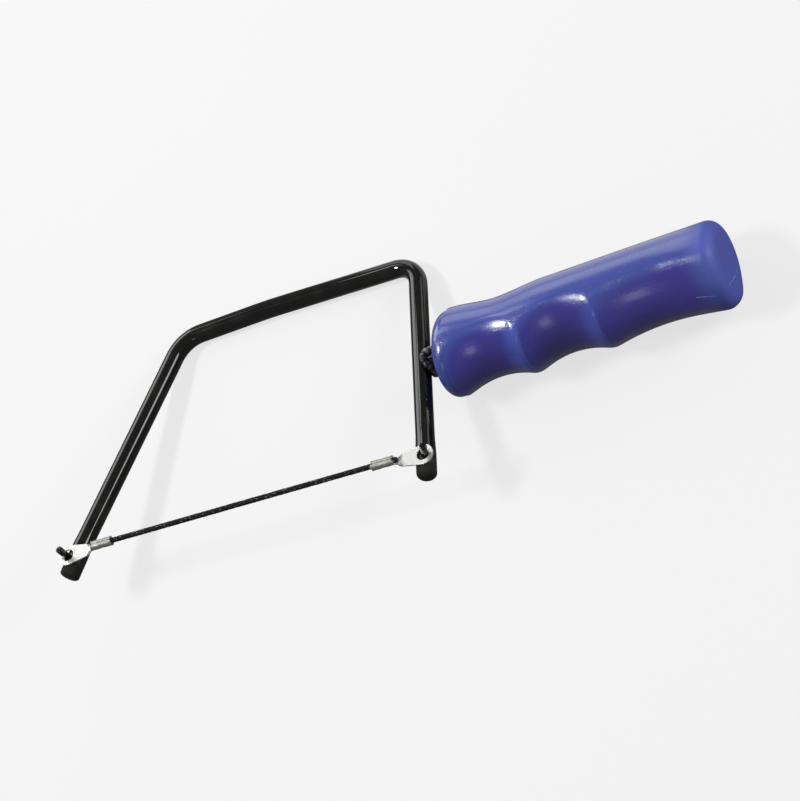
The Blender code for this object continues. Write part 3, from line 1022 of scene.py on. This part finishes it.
    def radius(self, place: Array, angle: Array) -> Array:
        """The grip's radius at places along it and angles from the middle of its underside.

        Each scoop is an arc along the grip whose floor fades out with the square of one less the cosine. The
        least of the scoops is taken with rounded ridges, and then the lesser of that and the plain radius
        with a rounded change, whose width varies along the grip.

        Args:
            place: Places along the grip's axis.
            angle: Angles in radians.

        Returns:
            Radii in millimetres.
        """
        hollows = []
        for centre, floor, bend, edge in self.scoops:
            across = np.clip(np.abs(place - centre), 0.0, bend)
            depth = float(self.station(self.underside, np.array(centre))) - floor
            fade = ((1 - np.cos(angle)) / (1 - math.cos(math.radians(edge)))) ** 2
            hollows.append(floor + depth * fade + bend - np.sqrt(bend**2 - across**2))
        front, middle, rear = hollows
        scooped = self.soft_least(self.soft_least(front, middle, self.ridge_round), rear, self.ridge_round)
        return self.soft_least(self.plain_radius(place, angle), scooped, self.edge_width(place))

    def spot(self, place: float, degrees: float) -> Array:
        """Find a point of the grip's skin.

        Args:
            place: Place along the grip's axis.
            degrees: Angle from the middle of the underside.

        Returns:
            The point on the saw's axes.
        """
        angle = np.array(math.radians(degrees))
        radius = self.radius(np.array(place), angle)
        return self.lean(place, -radius * np.cos(angle), radius * np.sin(angle))

    def butt_spot(self, up: float, out: float) -> Array:
        """A point of the flat butt, on the saw's axes."""
        return self.lean(self.end, np.array(up), np.array(out))

    def scuffs(self) -> tuple[tuple[Array, Array, float, float], ...]:
        """Place the scuffs on the skin and the butt.

        Returns:
            Two ends, half width in millimetres and depth as a share of each.
        """
        return (
            (self.spot(111.2, 20.9), self.spot(118.2, 16.1), 0.20, 0.8),
            (self.butt_spot(-10.9, 1.5), self.butt_spot(-4.6, -4.4), 0.20, 0.35),
            (self.butt_spot(-5.4, -3.6), self.butt_spot(-3.9, -5.0), 0.28, 0.8),
            (self.butt_spot(-3.6, -5.2), self.butt_spot(6.0, -11.4), 0.18, 0.3),
        )

    def outline(self) -> tuple[Array, int]:
        """Draw the grip's upright profile, from the bottom of its bore to the middle of its butt.

        It runs along the bore, round its mouth, up the front face, over the lip, along the skin and over the
        butt. Each round edge is a quarter circle.

        Returns:
            Places and radii, and how many of them belong to the bore and its mouth.
        """
        quarter = np.linspace(0.0, math.pi / 2, self.edge_rings)
        falling, rising = 1 - np.cos(quarter), 1 - np.sin(quarter)
        front_radius, butt_radius = self.station(self.underside, np.array((self.front, self.end)))
        depths = np.linspace(self.bore_depth, self.front + self.mouth_round, self.bore_rings)
        mouth_edge, lip_edge = self.bore_radius + self.mouth_round, front_radius - self.lip_round
        face = np.linspace(mouth_edge, lip_edge, self.face_rings)[1:-1]
        skin = np.linspace(self.front + self.lip_round, self.end - self.butt_round, self.rings)[1:-1]
        cap = np.linspace(butt_radius - self.butt_round, self.cap_tip, self.cap_rings)[1:]
        mouth = joined(self.front + self.mouth_round * rising, self.bore_radius + self.mouth_round * falling)
        stretches = (
            joined(depths, self.bore_radius),
            mouth[1:],
            joined(self.front, face),
            joined(self.front + self.lip_round * falling, front_radius - self.lip_round * rising),
            joined(skin, self.station(self.underside, skin)),
            joined(self.end - self.butt_round * rising, butt_radius - self.butt_round * falling),
            joined(self.end, cap),
        )
        return np.concatenate(stretches), len(depths) + len(mouth) - 1

    def painted_ridge_light(self, radius: Array, inside: int) -> Array:
        """Painted highlight on the ridges: where a ridge stands proud of its neighbours, trailing off to the
        front.

        Args:
            radius: Radii of the grip's grid.
            inside: Rings that belong to the bore.

        Returns:
            Wear from nought to one, on the same grid.
        """
        beside = np.roll(radius, self.ridge_reach, axis=0) + np.roll(radius, -self.ridge_reach, axis=0)
        ridge = ease(2 * radius - beside, *self.ridge_proud)
        ridge[: inside + self.ridge_margins[0]] = 0.0
        ridge[-self.ridge_margins[1] :] = 0.0
        ahead = np.arange(self.ridge_trail)
        trail = np.stack([np.roll(ridge, -shift, axis=0) for shift in ahead])
        return np.max(trail * (1 - ahead / self.ridge_trail)[:, None, None], axis=0)

    def grip(self) -> Skin:
        """The grip: its outline turned about its axis, with its ends leaned back.

        Outside the bore, the outline's radius is scaled to the radius formula at each angle.

        Returns:
            The skin, marked for painted highlight on the ridges, painted shade in the scoops and their
            floors, where the butt is, and where the mould's grain is coarse.
        """
        profile, inside = self.outline()
        angle = all_round(self.sides)[None]
        place = np.repeat(profile[:, :1], self.sides, axis=1)
        skin = self.radius(place, angle)
        scale = skin / self.station(self.underside, place)
        scale[:inside] = 1.0
        radius = profile[:, 1:] * scale
        grid = self.lean(place, -radius * np.cos(angle), radius * np.sin(angle))
        ridge = self.painted_ridge_light(radius, inside)
        sunk = self.plain_radius(place, angle) - skin
        butt_low = self.end - self.butt_round
        from_grain = (np.minimum(angle, TAU - angle) - self.skin_angle) / self.skin_width
        # ridge carries the painted highlight, hollow and depth the painted shade in the scoops
        marks = {
            "ridge": ridge,
            "hollow": ease(sunk, *self.hollow_depth) * (1 - ridge),
            "depth": ease(sunk, *self.floor_depth),
            "butt": ease(place, butt_low - self.butt_fade, butt_low + 0.8 * self.butt_round),
            "coarse": np.exp(-(from_grain**2)) * (1 - self.ridge_calm * ridge),
        }
        return Skin(grid, marks=marks)

    def tang(self) -> Skin:
        """The steel rod inside the grip: turned, with sawtooth barbs towards its far end.

        Returns:
            The skin, marked by the dullness of its lacquer.
        """
        teeth = np.arange(self.barbs) * self.barb_pitch
        root = self.tang_end - self.barb_pitch * (self.barbs + 0.5) + teeth
        heights = joined(root, root + self.barb_pitch - self.barb_height, root + self.barb_pitch)
        tooth = np.array((self.rod_radius, self.rod_radius, self.rod_radius + self.barb_height))
        straight = np.linspace(self.tang_start, root[0] - self.barb_gap, self.tang_rings)
        plain = joined(straight, self.rod_radius)
        tip = ((self.tang_end, self.rod_radius - self.barb_height),)
        profile = np.concatenate((plain, joined(heights, tooth).reshape(-1, 2), tip))
        grid = turned_grid(np.array((0.0, self.height, 0.0)), self.axes()[2], profile, self.tang_sides)
        return Skin(grid, marks={"near_end": np.full(grid.shape[:2], self.tang_matt)})

    def weld(self) -> Skin:
        """The bead along the line where the tang's side meets the leg's, in overlapping ripples and lumps.

        Its middle is the saddle: up = R cos t, out = R sin t, and along = the root of R squared less a share
        of out squared. A ring is a circle whose radius swells with each ripple, and ripples lean along it.

        Returns:
            The skin, marked by how high each crest stands on the side with painted light.
        """
        turn = all_round(self.weld_steps)
        reach = self.rod_radius + self.weld_offset
        out = reach * np.sin(turn)
        along = np.sqrt(reach**2 - (self.weld_saddle * out) ** 2) + self.weld_offset
        line = self.stand(reach * np.cos(turn), out, along)
        ahead = unit(np.roll(line, -1, axis=0) - np.roll(line, 1, axis=0))
        away = line - self.stand(0.0, 0.0, reach * self.weld_heart)
        away = unit(away - ahead * (away * ahead).sum(axis=1, keepdims=True))
        side = np.cross(ahead, away)
        angle = all_round(self.weld_sides)
        ring = np.cos(angle)[:, None] * away[:, None] + np.sin(angle)[:, None] * side[:, None]
        uneven = self.weld_ripples * turn + self.ripple_sway * np.sin(3 * turn)
        leaned = uneven[:, None] + self.ripple_lean * np.cos(angle)
        ripple = np.abs(np.sin(leaned / 2)) ** self.ripple_edge
        lumps = roughness_of(line[:, None] + ring, self.weld_lump_pitch, WELD_SEED)
        height = self.ripple_height * ripple + self.weld_lump * (lumps - 1)
        grid = line[:, None] + ring * (self.weld_radius * (1 + height))[..., None]
        # painted light: only one side round the tang shows grey crests
        bare_and_lit = ease(np.cos(turn - self.painted_light_angle), *self.painted_light_run)[:, None]
        return Skin(grid, looped=True, marks={"crest": bare_and_lit * np.clip(0.5 + 1.6 * height, 0.0, 1.0)})

    def build(self, lacquer: Material, plastic: Material, steel: Material) -> None:
        """Make and dress the grip, the tang and the weld.

        Args:
            lacquer: Finish of the tang.
            plastic: Finish of the grip.
            steel: Finish of the weld.
        """
        finish_piece(self.grip().build("grip_moulding"), Body.FRAME, "handle_grip", plastic)
        finish_piece(self.tang().build("grip_tang"), Body.FRAME, "handle_tang", lacquer)
        finish_piece(self.weld().build("tang_bead"), Body.FRAME, "tang_weld", steel)


@dataclass
class Blade:
    """The grit wire and the two lugs crimped on its ends."""

    plate_z: float = 4.35  # height of the lugs' plates
    wire_z: float = 6.1
    front_eye: float = -147.8
    rear_lean: float = PIN_LEAN  # of the pin that the rear eye hangs on
    rear_pull: float = 0.7  # how far the wire pulls the rear eye forward
    sheet: float = 0.75
    rim_round: float = 0.14
    rim_angle: float = 55.0  # in degrees, past which an edge of the sheet is rounded
    eye_radius: float = 4.1
    hole_radius: float = 2.4
    eye_join: float = 0.5  # past the eye's outline, where its rings turn into the strip
    eye_cells: tuple[int, int] = (9, 92)  # rings of the eye, and places round its back
    strip_cells: tuple[int, int] = (96, 41)  # places along the strip and across it
    hole_shine: float = 0.4  # width of the painted rim highlight at the hole's cut edge
    side_shine: float = 0.88  # share of the half width past which the cut edge gets the painted rim highlight
    tongue: float = 9.3  # length from the eye's middle to the shoulders
    tongue_half: float = 2.15  # half width there
    shoulder_run: Span = (-0.2, 0.6)  # places past the tongue between which it narrows
    neck_half: float = 1.45
    barrel_start: float = 11.2
    barrel_length: float = 8.6
    barrel_radius: float = 1.38
    wing_run: Span = (-0.25, 0.35)  # places past the barrel's start between which its wings widen
    tail_run: Span = (-0.5, 0.3)  # places past its end between which they narrow
    tail_trim: float = 0.5
    # How far before the tongue's end rolling starts, and past the barrel's start it ends
    curl_run: Span = (1.2, 0.2)
    seam: float = math.radians(9.0)  # half angle of the seam
    seam_dip: float = 0.30  # how far the edges dip inward there
    seam_start: float = 2.35  # angle at which that dip starts
    bell: float = 0.16  # flare of the barrel's ends
    bell_run: Span = (1.3, 0.9)  # length of the flare at the wire's end and at the eye's end
    eye_bell: float = 0.6  # share of the flare at the eye's end
    pinch: float = 0.07  # depth of the crimp's two pinches
    wire_radius: float = 1.12  # over the grit
    wire_stub: Span = (0.2, 1.5)  # how far the wire stands out of the front and the rear barrel's eye end
    wire_pitch: float = 0.15
    wire_sides: int = 44
    bare_end: float = 1.5  # length over which the grit thins out at an end
    grain_pitch: float = 0.40
    grain_height: float = 0.22  # of the highest grains
    grain_cut: float = 0.72  # how far the corners of a square grain are cut
    grain_steep: float = 1.5  # of a grain's sides
    grain_sharp: float = 25.0  # in degrees, past which an edge is shaded sharp
    end_grit: float = 0.35  # share of the grit's height left at an end

    def eye_x(self, end: End) -> float:
        """Place of an eye along the blade."""
        rear_eye = self.plate_z * math.tan(self.rear_lean) - self.rear_pull
        return self.front_eye if end is End.FRONT else rear_eye

    def wire(self) -> Skin:
        """The wire: a core with grains on it, each a chipped pyramid in a cell of a jittered lattice.

        At every point the height is the greatest of h (1 - d / r) over the nine nearest cells, cut flat at
        the grain's own top, where d is the distance to the grain by an eight-sided measure turned at random.

        Returns:
            The skin, marked by the height of the grain and by a random number that picks the grains painted
            as glints.
        """
        start, finish = (
            self.eye_x(end) + end.value * (self.barrel_start - stub)
            for end, stub in zip(End, self.wire_stub)
        )
        length = finish - start
        cells = (math.ceil(length / self.grain_pitch) + 1, round(TAU * self.wire_radius / self.grain_pitch))
        rng = np.random.default_rng(GRAIN_SEED)
        shift = rng.uniform(0.1, 0.9, size=(2, *cells))
        tall = rng.uniform(0.35, 1.0, size=cells)
        wide = rng.uniform(0.45, 0.85, size=cells)
        twist = rng.uniform(0.0, math.pi / 4, size=cells)
        shine = rng.uniform(0.0, 1.0, size=cells)
        place = np.linspace(start, finish, round(length / self.wire_pitch))[:, None]
        angle = all_round(self.wire_sides)
        along, across = np.broadcast_arrays((place - start) / self.grain_pitch, angle / TAU * cells[1])
        height = np.zeros(along.shape)
        glint = np.zeros(along.shape)
        for step in np.ndindex(3, 3):
            row = np.floor(along).astype(int) + step[0] - 1
            column = np.floor(across).astype(int) + step[1] - 1
            cell = (np.clip(row, 0, cells[0] - 1), column % cells[1])
            far = along - row - shift[0][cell]
            off = across - column - shift[1][cell]
            cosine, sine = np.cos(twist[cell]), np.sin(twist[cell])
            turned_far = np.abs(far * cosine + off * sine)
            turned_off = np.abs(off * cosine - far * sine)
            square = np.maximum(turned_far, turned_off)
            distance = np.maximum(square, self.grain_cut * (turned_far + turned_off))
            grain = np.minimum(tall[cell] * self.grain_steep * (1 - distance / wide[cell]), tall[cell])
            glint = np.where(grain > height, shine[cell], glint)
            height = np.maximum(height, grain)
        covered = ease(place - start, 0.0, self.bare_end) * ease(finish - place, 0.0, self.bare_end)
        proud = self.grain_height * height * (self.end_grit + (1 - self.end_grit) * covered)
        radius = self.wire_radius - self.grain_height + proud
        grid = joined(place, radius * np.cos(angle), self.wire_z + radius * np.sin(angle))
        return Skin(grid, marks={"grain": height, "glint": glint})

    def side_lean(self) -> float:
        """Angle in radians between the tongue's side and the strip's middle."""
        return math.asin((self.eye_radius - self.tongue_half) / math.hypot(self.tongue, self.eye_radius / 2))

    def half_width(self, x: Array) -> Array:
        """Half width of the flat strip: tongue, shoulders, neck and wings, eased from one to the next.

        Args:
            x: Distances from the eye's middle.

        Returns:
            Half widths in millimetres.
        """
        lean = self.side_lean()
        tongue = (self.eye_radius - x * math.sin(lean)) / math.cos(lean)
        shoulder = ease(x - self.tongue, *self.shoulder_run)
        wing = ease(x - self.barrel_start, *self.wing_run)
        tail = ease(x - self.barrel_start - self.barrel_length, *self.tail_run)
        neck = tongue + (self.neck_half - tongue) * shoulder
        full = (math.pi - self.seam) * self.barrel_radius
        return neck + (full - self.neck_half) * wing - self.tail_trim * tail

    def roll(self, x: Array, y: Array) -> Array:
        """Bend the flat strip: flat at the eye, a channel at the neck, and rolled right round at the barrel.

        The strip's curve is a circle of curvature k, so a point at y across goes to sin(k y) / k across and
        (1 - cos(k y)) / k up. Past the wings' shoulders the edges dip inward and meet in a seam, and the
        barrel flares at its ends and is pinched by the crimp.

        Args:
            x: Distances from the eye's middle.
            y: Distances across the flat strip.

        Returns:
            Points on the lug's own axes.
        """
        least_curve = 1e-4
        past = x - self.barrel_start
        curl = ease(x, self.tongue - self.curl_run[0], self.barrel_start + self.curl_run[1])
        curve = np.maximum(curl / self.barrel_radius, least_curve)
        angle = curve * y
        fold = self.seam_dip * ease(np.abs(angle), self.seam_start, math.pi - self.seam)
        wire_bell = ease(past - self.barrel_length, -self.bell_run[0], 0.0)
        flare = self.bell * (wire_bell + self.eye_bell * ease(-past, -self.bell_run[1], 0.0))
        pinch = self.pinch * np.cos(TAU * past / self.barrel_length * 2) * np.abs(np.sin(angle))
        radius = 1 / curve - curl * (fold - flare * curl + pinch)
        lift = (self.wire_z - self.plate_z - self.barrel_radius) * curl
        return joined(x, radius * np.sin(angle), lift + 1 / curve - radius * np.cos(angle))

    def lug(self, end: End) -> Piece:
        """A lug: one stamped sheet, with a ring of quads round the hole that goes on as a strip.

        Rings run from the hole to the eye's outline, whose front is the line where the strip starts. The
        strip is a grid of distance by share of the half width, rolled by the formula of roll. Solidify gives
        the sheet its thickness and Bevel rounds its rims.

        Args:
            end: Which end of the blade it is on.

        Returns:
            The piece.
        """
        join = self.eye_radius + self.eye_join
        share = np.linspace(-1.0, 1.0, self.strip_cells[1])
        tip = self.barrel_start + self.barrel_length
        stations = np.linspace(join, tip, self.strip_cells[0])[:, None]
        strip = self.roll(stations, self.half_width(stations) * share)
        front = np.arctan2(share * float(self.half_width(np.array(join))), join)
        back = np.linspace(front[-1], TAU + front[0], self.eye_cells[1])[1:-1]
        angle = np.concatenate((front, back))
        cosine, sine = np.cos(angle), np.sin(angle)
        lean_cosine, lean_sine = math.cos(self.side_lean()), math.sin(self.side_lean())
        slope = np.maximum(np.abs(sine) * lean_cosine + cosine * lean_sine, TINY)
        on_tongue = np.abs(sine) * lean_sine < cosine * lean_cosine
        outline = np.where(on_tongue, self.eye_radius / slope, self.eye_radius)
        outline[: len(front)] = join / np.maximum(cosine[: len(front)], TINY)
        step = np.linspace(0.0, 1.0, self.eye_cells[0])
        reach = self.hole_radius + (outline[:, None] - self.hole_radius) * step
        eye = joined(reach * cosine[:, None], reach * sine[:, None], 0.0)
        points = np.concatenate((eye[:, :-1].reshape(-1, 3), eye[len(front) :, -1], strip.reshape(-1, 3)))
        inner = np.arange(len(angle) * (len(step) - 1)).reshape(len(angle), -1)
        rim = inner.size + np.arange(len(back))
        first = inner.size + len(back)
        band = first + np.arange(strip[..., 0].size).reshape(len(stations), -1)
        ring = np.concatenate((inner, np.concatenate((band[0], rim))[:, None]), axis=1)
        after = np.roll(ring, -1, axis=0)
        eye_quads = joined(ring[:, :-1], ring[:, 1:], after[:, 1:], after[:, :-1])
        strip_quads = joined(band[:-1, :-1], band[1:, :-1], band[1:, 1:], band[:-1, 1:])
        faces = np.concatenate((eye_quads.reshape(-1, 4), strip_quads.reshape(-1, 4)))
        points = points * (end.value, end.value, 1.0) + (self.eye_x(end), 0.0, self.plate_z)
        obj = mesh_object(f"{end.name.lower()}_lug", points, faces.tolist(), SHARP)
        hole_edge = 1 - ease(reach[:, :-1] - self.hole_radius, 0.0, self.hole_shine)
        side_edge, crimp = np.broadcast_arrays(
            ease(np.abs(share), self.side_shine, 1.0), ease(stations, self.tongue, self.barrel_start)
        )
        put_mark(obj, "cut_edge", np.concatenate((hole_edge.ravel(), np.ones(len(back)), side_edge.ravel())))
        put_mark(obj, "crimp", np.concatenate((np.zeros(first), crimp.ravel())))
        wall = obj.modifiers.new("sheet", "SOLIDIFY")
        wall.thickness = self.sheet * MM
        wall.offset = 0.0
        wall.use_even_offset = True
        rims = obj.modifiers.new("rims", "BEVEL")
        rims.width = self.rim_round * MM
        rims.segments = 2
        rims.limit_method = "ANGLE"
        rims.angle_limit = math.radians(self.rim_angle)
        return obj

    def build(self, grit: Material, zinc: Material) -> None:
        """Make and dress the wire and its lugs.

        Args:
            grit: Finish of the wire.
            zinc: Finish of the lugs.
        """
        wire = self.wire().build("grit_wire", self.grain_sharp)
        finish_piece(wire, Body.BLADE, "blade_wire", grit)
        for end in End:
            finish_piece(self.lug(end), Body.BLADE, f"{end.name.lower()}_terminal", zinc)


@dataclass(frozen=True)
class Softbox:
    """A square studio light.

    Attributes:
        name: What it does.
        azimuth: Where it stands, in degrees from the scene's X towards Y.
        elevation: How high it stands, in degrees.
        size: Width and height in metres.
        power: Power in watts.
        distance: Distance from the saw in metres.
    """

    name: str
    azimuth: float
    elevation: float
    size: Span
    power: float
    distance: float = 1.2

    def build(self) -> None:
        """Hang the light, facing the saw."""
        lamp = bpy.data.lights.new(self.name, "AREA")
        lamp.shape = "RECTANGLE"
        lamp.size, lamp.size_y = self.size
        lamp.energy = self.power
        level, height = math.radians(self.azimuth), math.radians(self.elevation)
        flat = math.cos(height)
        away = np.array((math.cos(level) * flat, math.sin(level) * flat, math.sin(height)))
        side = unit(np.cross(np.array((0.0, 0.0, 1.0)), away))
        turn = np.eye(4)
        turn[:3] = joined(side, np.cross(away, side), away, away * self.distance)
        add_object(self.name, lamp).matrix_world = Matrix(turn)


@dataclass
class Studio:
    """The pale floor, the soft lights, and the camera at the photograph's angle."""

    # From the saw to the camera, on the saw's axes
    facing: tuple[float, float, float] = (0.358, -0.530, 0.769)
    roll: float = math.radians(16.25)
    target: tuple[float, float, float] = (-9.5, 28.6, 0.0)  # point of the saw at the picture's middle
    distance: float = 1350.0
    scale: float = 2.718  # pixels for each millimetre at the target
    picture: int = 800  # width in pixels
    sensor: float = 36.0
    clip: Span = (0.05, 50.0)  # nearest and farthest that the camera sees, in metres
    floor_size: float = 6.0  # half width in metres
    floor_glow: float = 0.715  # share of the floor's white that is its own
    floor_colour: Colour = (0.18, 0.18, 0.18)  # as the camera and mirrors see it
    floor_bounce: Colour = (0.07, 0.07, 0.07)  # for the light that it throws back
    floor_mirror: float = 0.12  # share of the white that gloss mirrors, but for the part behind the grip
    behind_x: Span = (-0.04, -0.01)  # where that part starts across the floor, in metres
    behind_y: Span = (0.03, 0.05)  # and towards the back
    behind_end: Span = (0.106, 0.130)  # where it ends across the floor
    sky: float = 0.20  # level of the light all round
    lights: tuple[Softbox, ...] = (
        Softbox("top_lamp", 170.0, 57.5, (0.28, 0.13), 8.8),
        Softbox("left_panel", 135.5, 17.0, (0.62, 0.66), 4.1),
        Softbox("lug_card", 111.1, 42.5, (0.060, 0.049), 0.036, 0.286),
        Softbox("right_panel", 20.0, 19.0, (0.42, 0.66), 5.8),
        Softbox("right_strip", 0.0, 33.0, (0.30, 0.38), 2.9),
        Softbox("side_card", 40.0, 14.0, (0.25, 0.30), 0.30),
        Softbox("back_panel", 97.0, 13.5, (0.25, 0.24), 0.31, 0.536),
        Softbox("front_card", -95.0, 43.0, (0.2, 0.2), 0.32),
    )

    def camera(self) -> None:
        """Set the camera up from the view's direction, roll and scale."""
        facing = unit(np.array(self.facing))
        level = unit(np.array((1.0, 0.0, 0.0)) - facing * facing[0])
        upward = np.cross(facing, level)
        right = math.cos(self.roll) * level - math.sin(self.roll) * upward
        top = math.sin(self.roll) * level + math.cos(self.roll) * upward
        data = bpy.data.cameras.new("camera")
        data.sensor_fit = "HORIZONTAL"
        data.sensor_width = self.sensor
        data.lens = self.sensor * self.scale * self.distance / self.picture
        data.clip_start, data.clip_end = self.clip
        pose = np.eye(4)
        pose[:3, :3] = SAW.turn(np.stack((right, top, facing))).T
        pose[:3, 3] = SAW.place(np.array(self.target) + self.distance * facing)
        obj = add_object("camera", data)
        obj.matrix_world = Matrix(pose)
        bpy.context.scene.camera = obj

    def floor(self) -> None:
        """Lay the floor: pale where it is looked at, and duller in the light that it throws back."""
        corners = np.array(((-1, -1, 0), (1, -1, 0), (1, 1, 0), (-1, 1, 0))) * self.floor_size
        mesh = bpy.data.meshes.new("floor")
        mesh.from_pydata(corners.tolist(), [], [(0, 1, 2, 3)])
        obj = add_object("floor", mesh)
        shader = Shader("floor", {"Roughness": 1.0, "Specular IOR Level": 0.0, "Emission Strength": 1.0})
        camera, glossy, through = (
            shader.node("ShaderNodeLightPath", output=f"Is {ray} Ray")
            for ray in ("Camera", "Glossy", "Transmission")
        )
        across, back = (shader.node("ShaderNodeSeparateXYZ", {}, {0: shader.spot}, axis) for axis in "XY")
        behind = across.step(*self.behind_x) * (1 - across.step(*self.behind_end))
        behind = behind * back.step(*self.behind_y)
        mirror = self.floor_mirror + (1 - self.floor_mirror) * behind
        seen = camera.at_least(mirror * glossy).at_least(through)
        glow = (self.floor_glow, self.floor_glow, self.floor_glow)
        shader.feed(
            Base_Color=shader.mix(seen, self.floor_bounce, self.floor_colour),
            Emission_Color=shader.mix(seen, (0.0, 0.0, 0.0), glow),
        )
        mesh.materials.append(shader.material)

    def build(self) -> None:
        """Set up the camera, the floor, the light all round and the softboxes."""
        self.camera()
        self.floor()
        world = bpy.data.worlds.new("studio")
        world.use_nodes = True
        background = world.node_tree.nodes["Background"]
        background.inputs["Color"].default_value = (self.sky, self.sky, self.sky, 1.0)
        bpy.context.scene.world = world
        for light in self.lights:
            light.build()
        bpy.context.scene.view_settings.view_transform = "Standard"


def main() -> None:
    """Build the saw piece by piece and set it in the studio."""
    logging.basicConfig(level=logging.INFO, format="%(name)s: %(message)s")
    handle = Handle()
    lacquer = BlackLacquer().make()
    Bow().build(lacquer)
    handle.build(lacquer, BluePlastic(scuffs=handle.scuffs()).make(), WeldSteel().make())
    Blade().build(CarbideGrit().make(), ZincPlate().make())
    Studio().build()


if __name__ == "__main__":
    main()
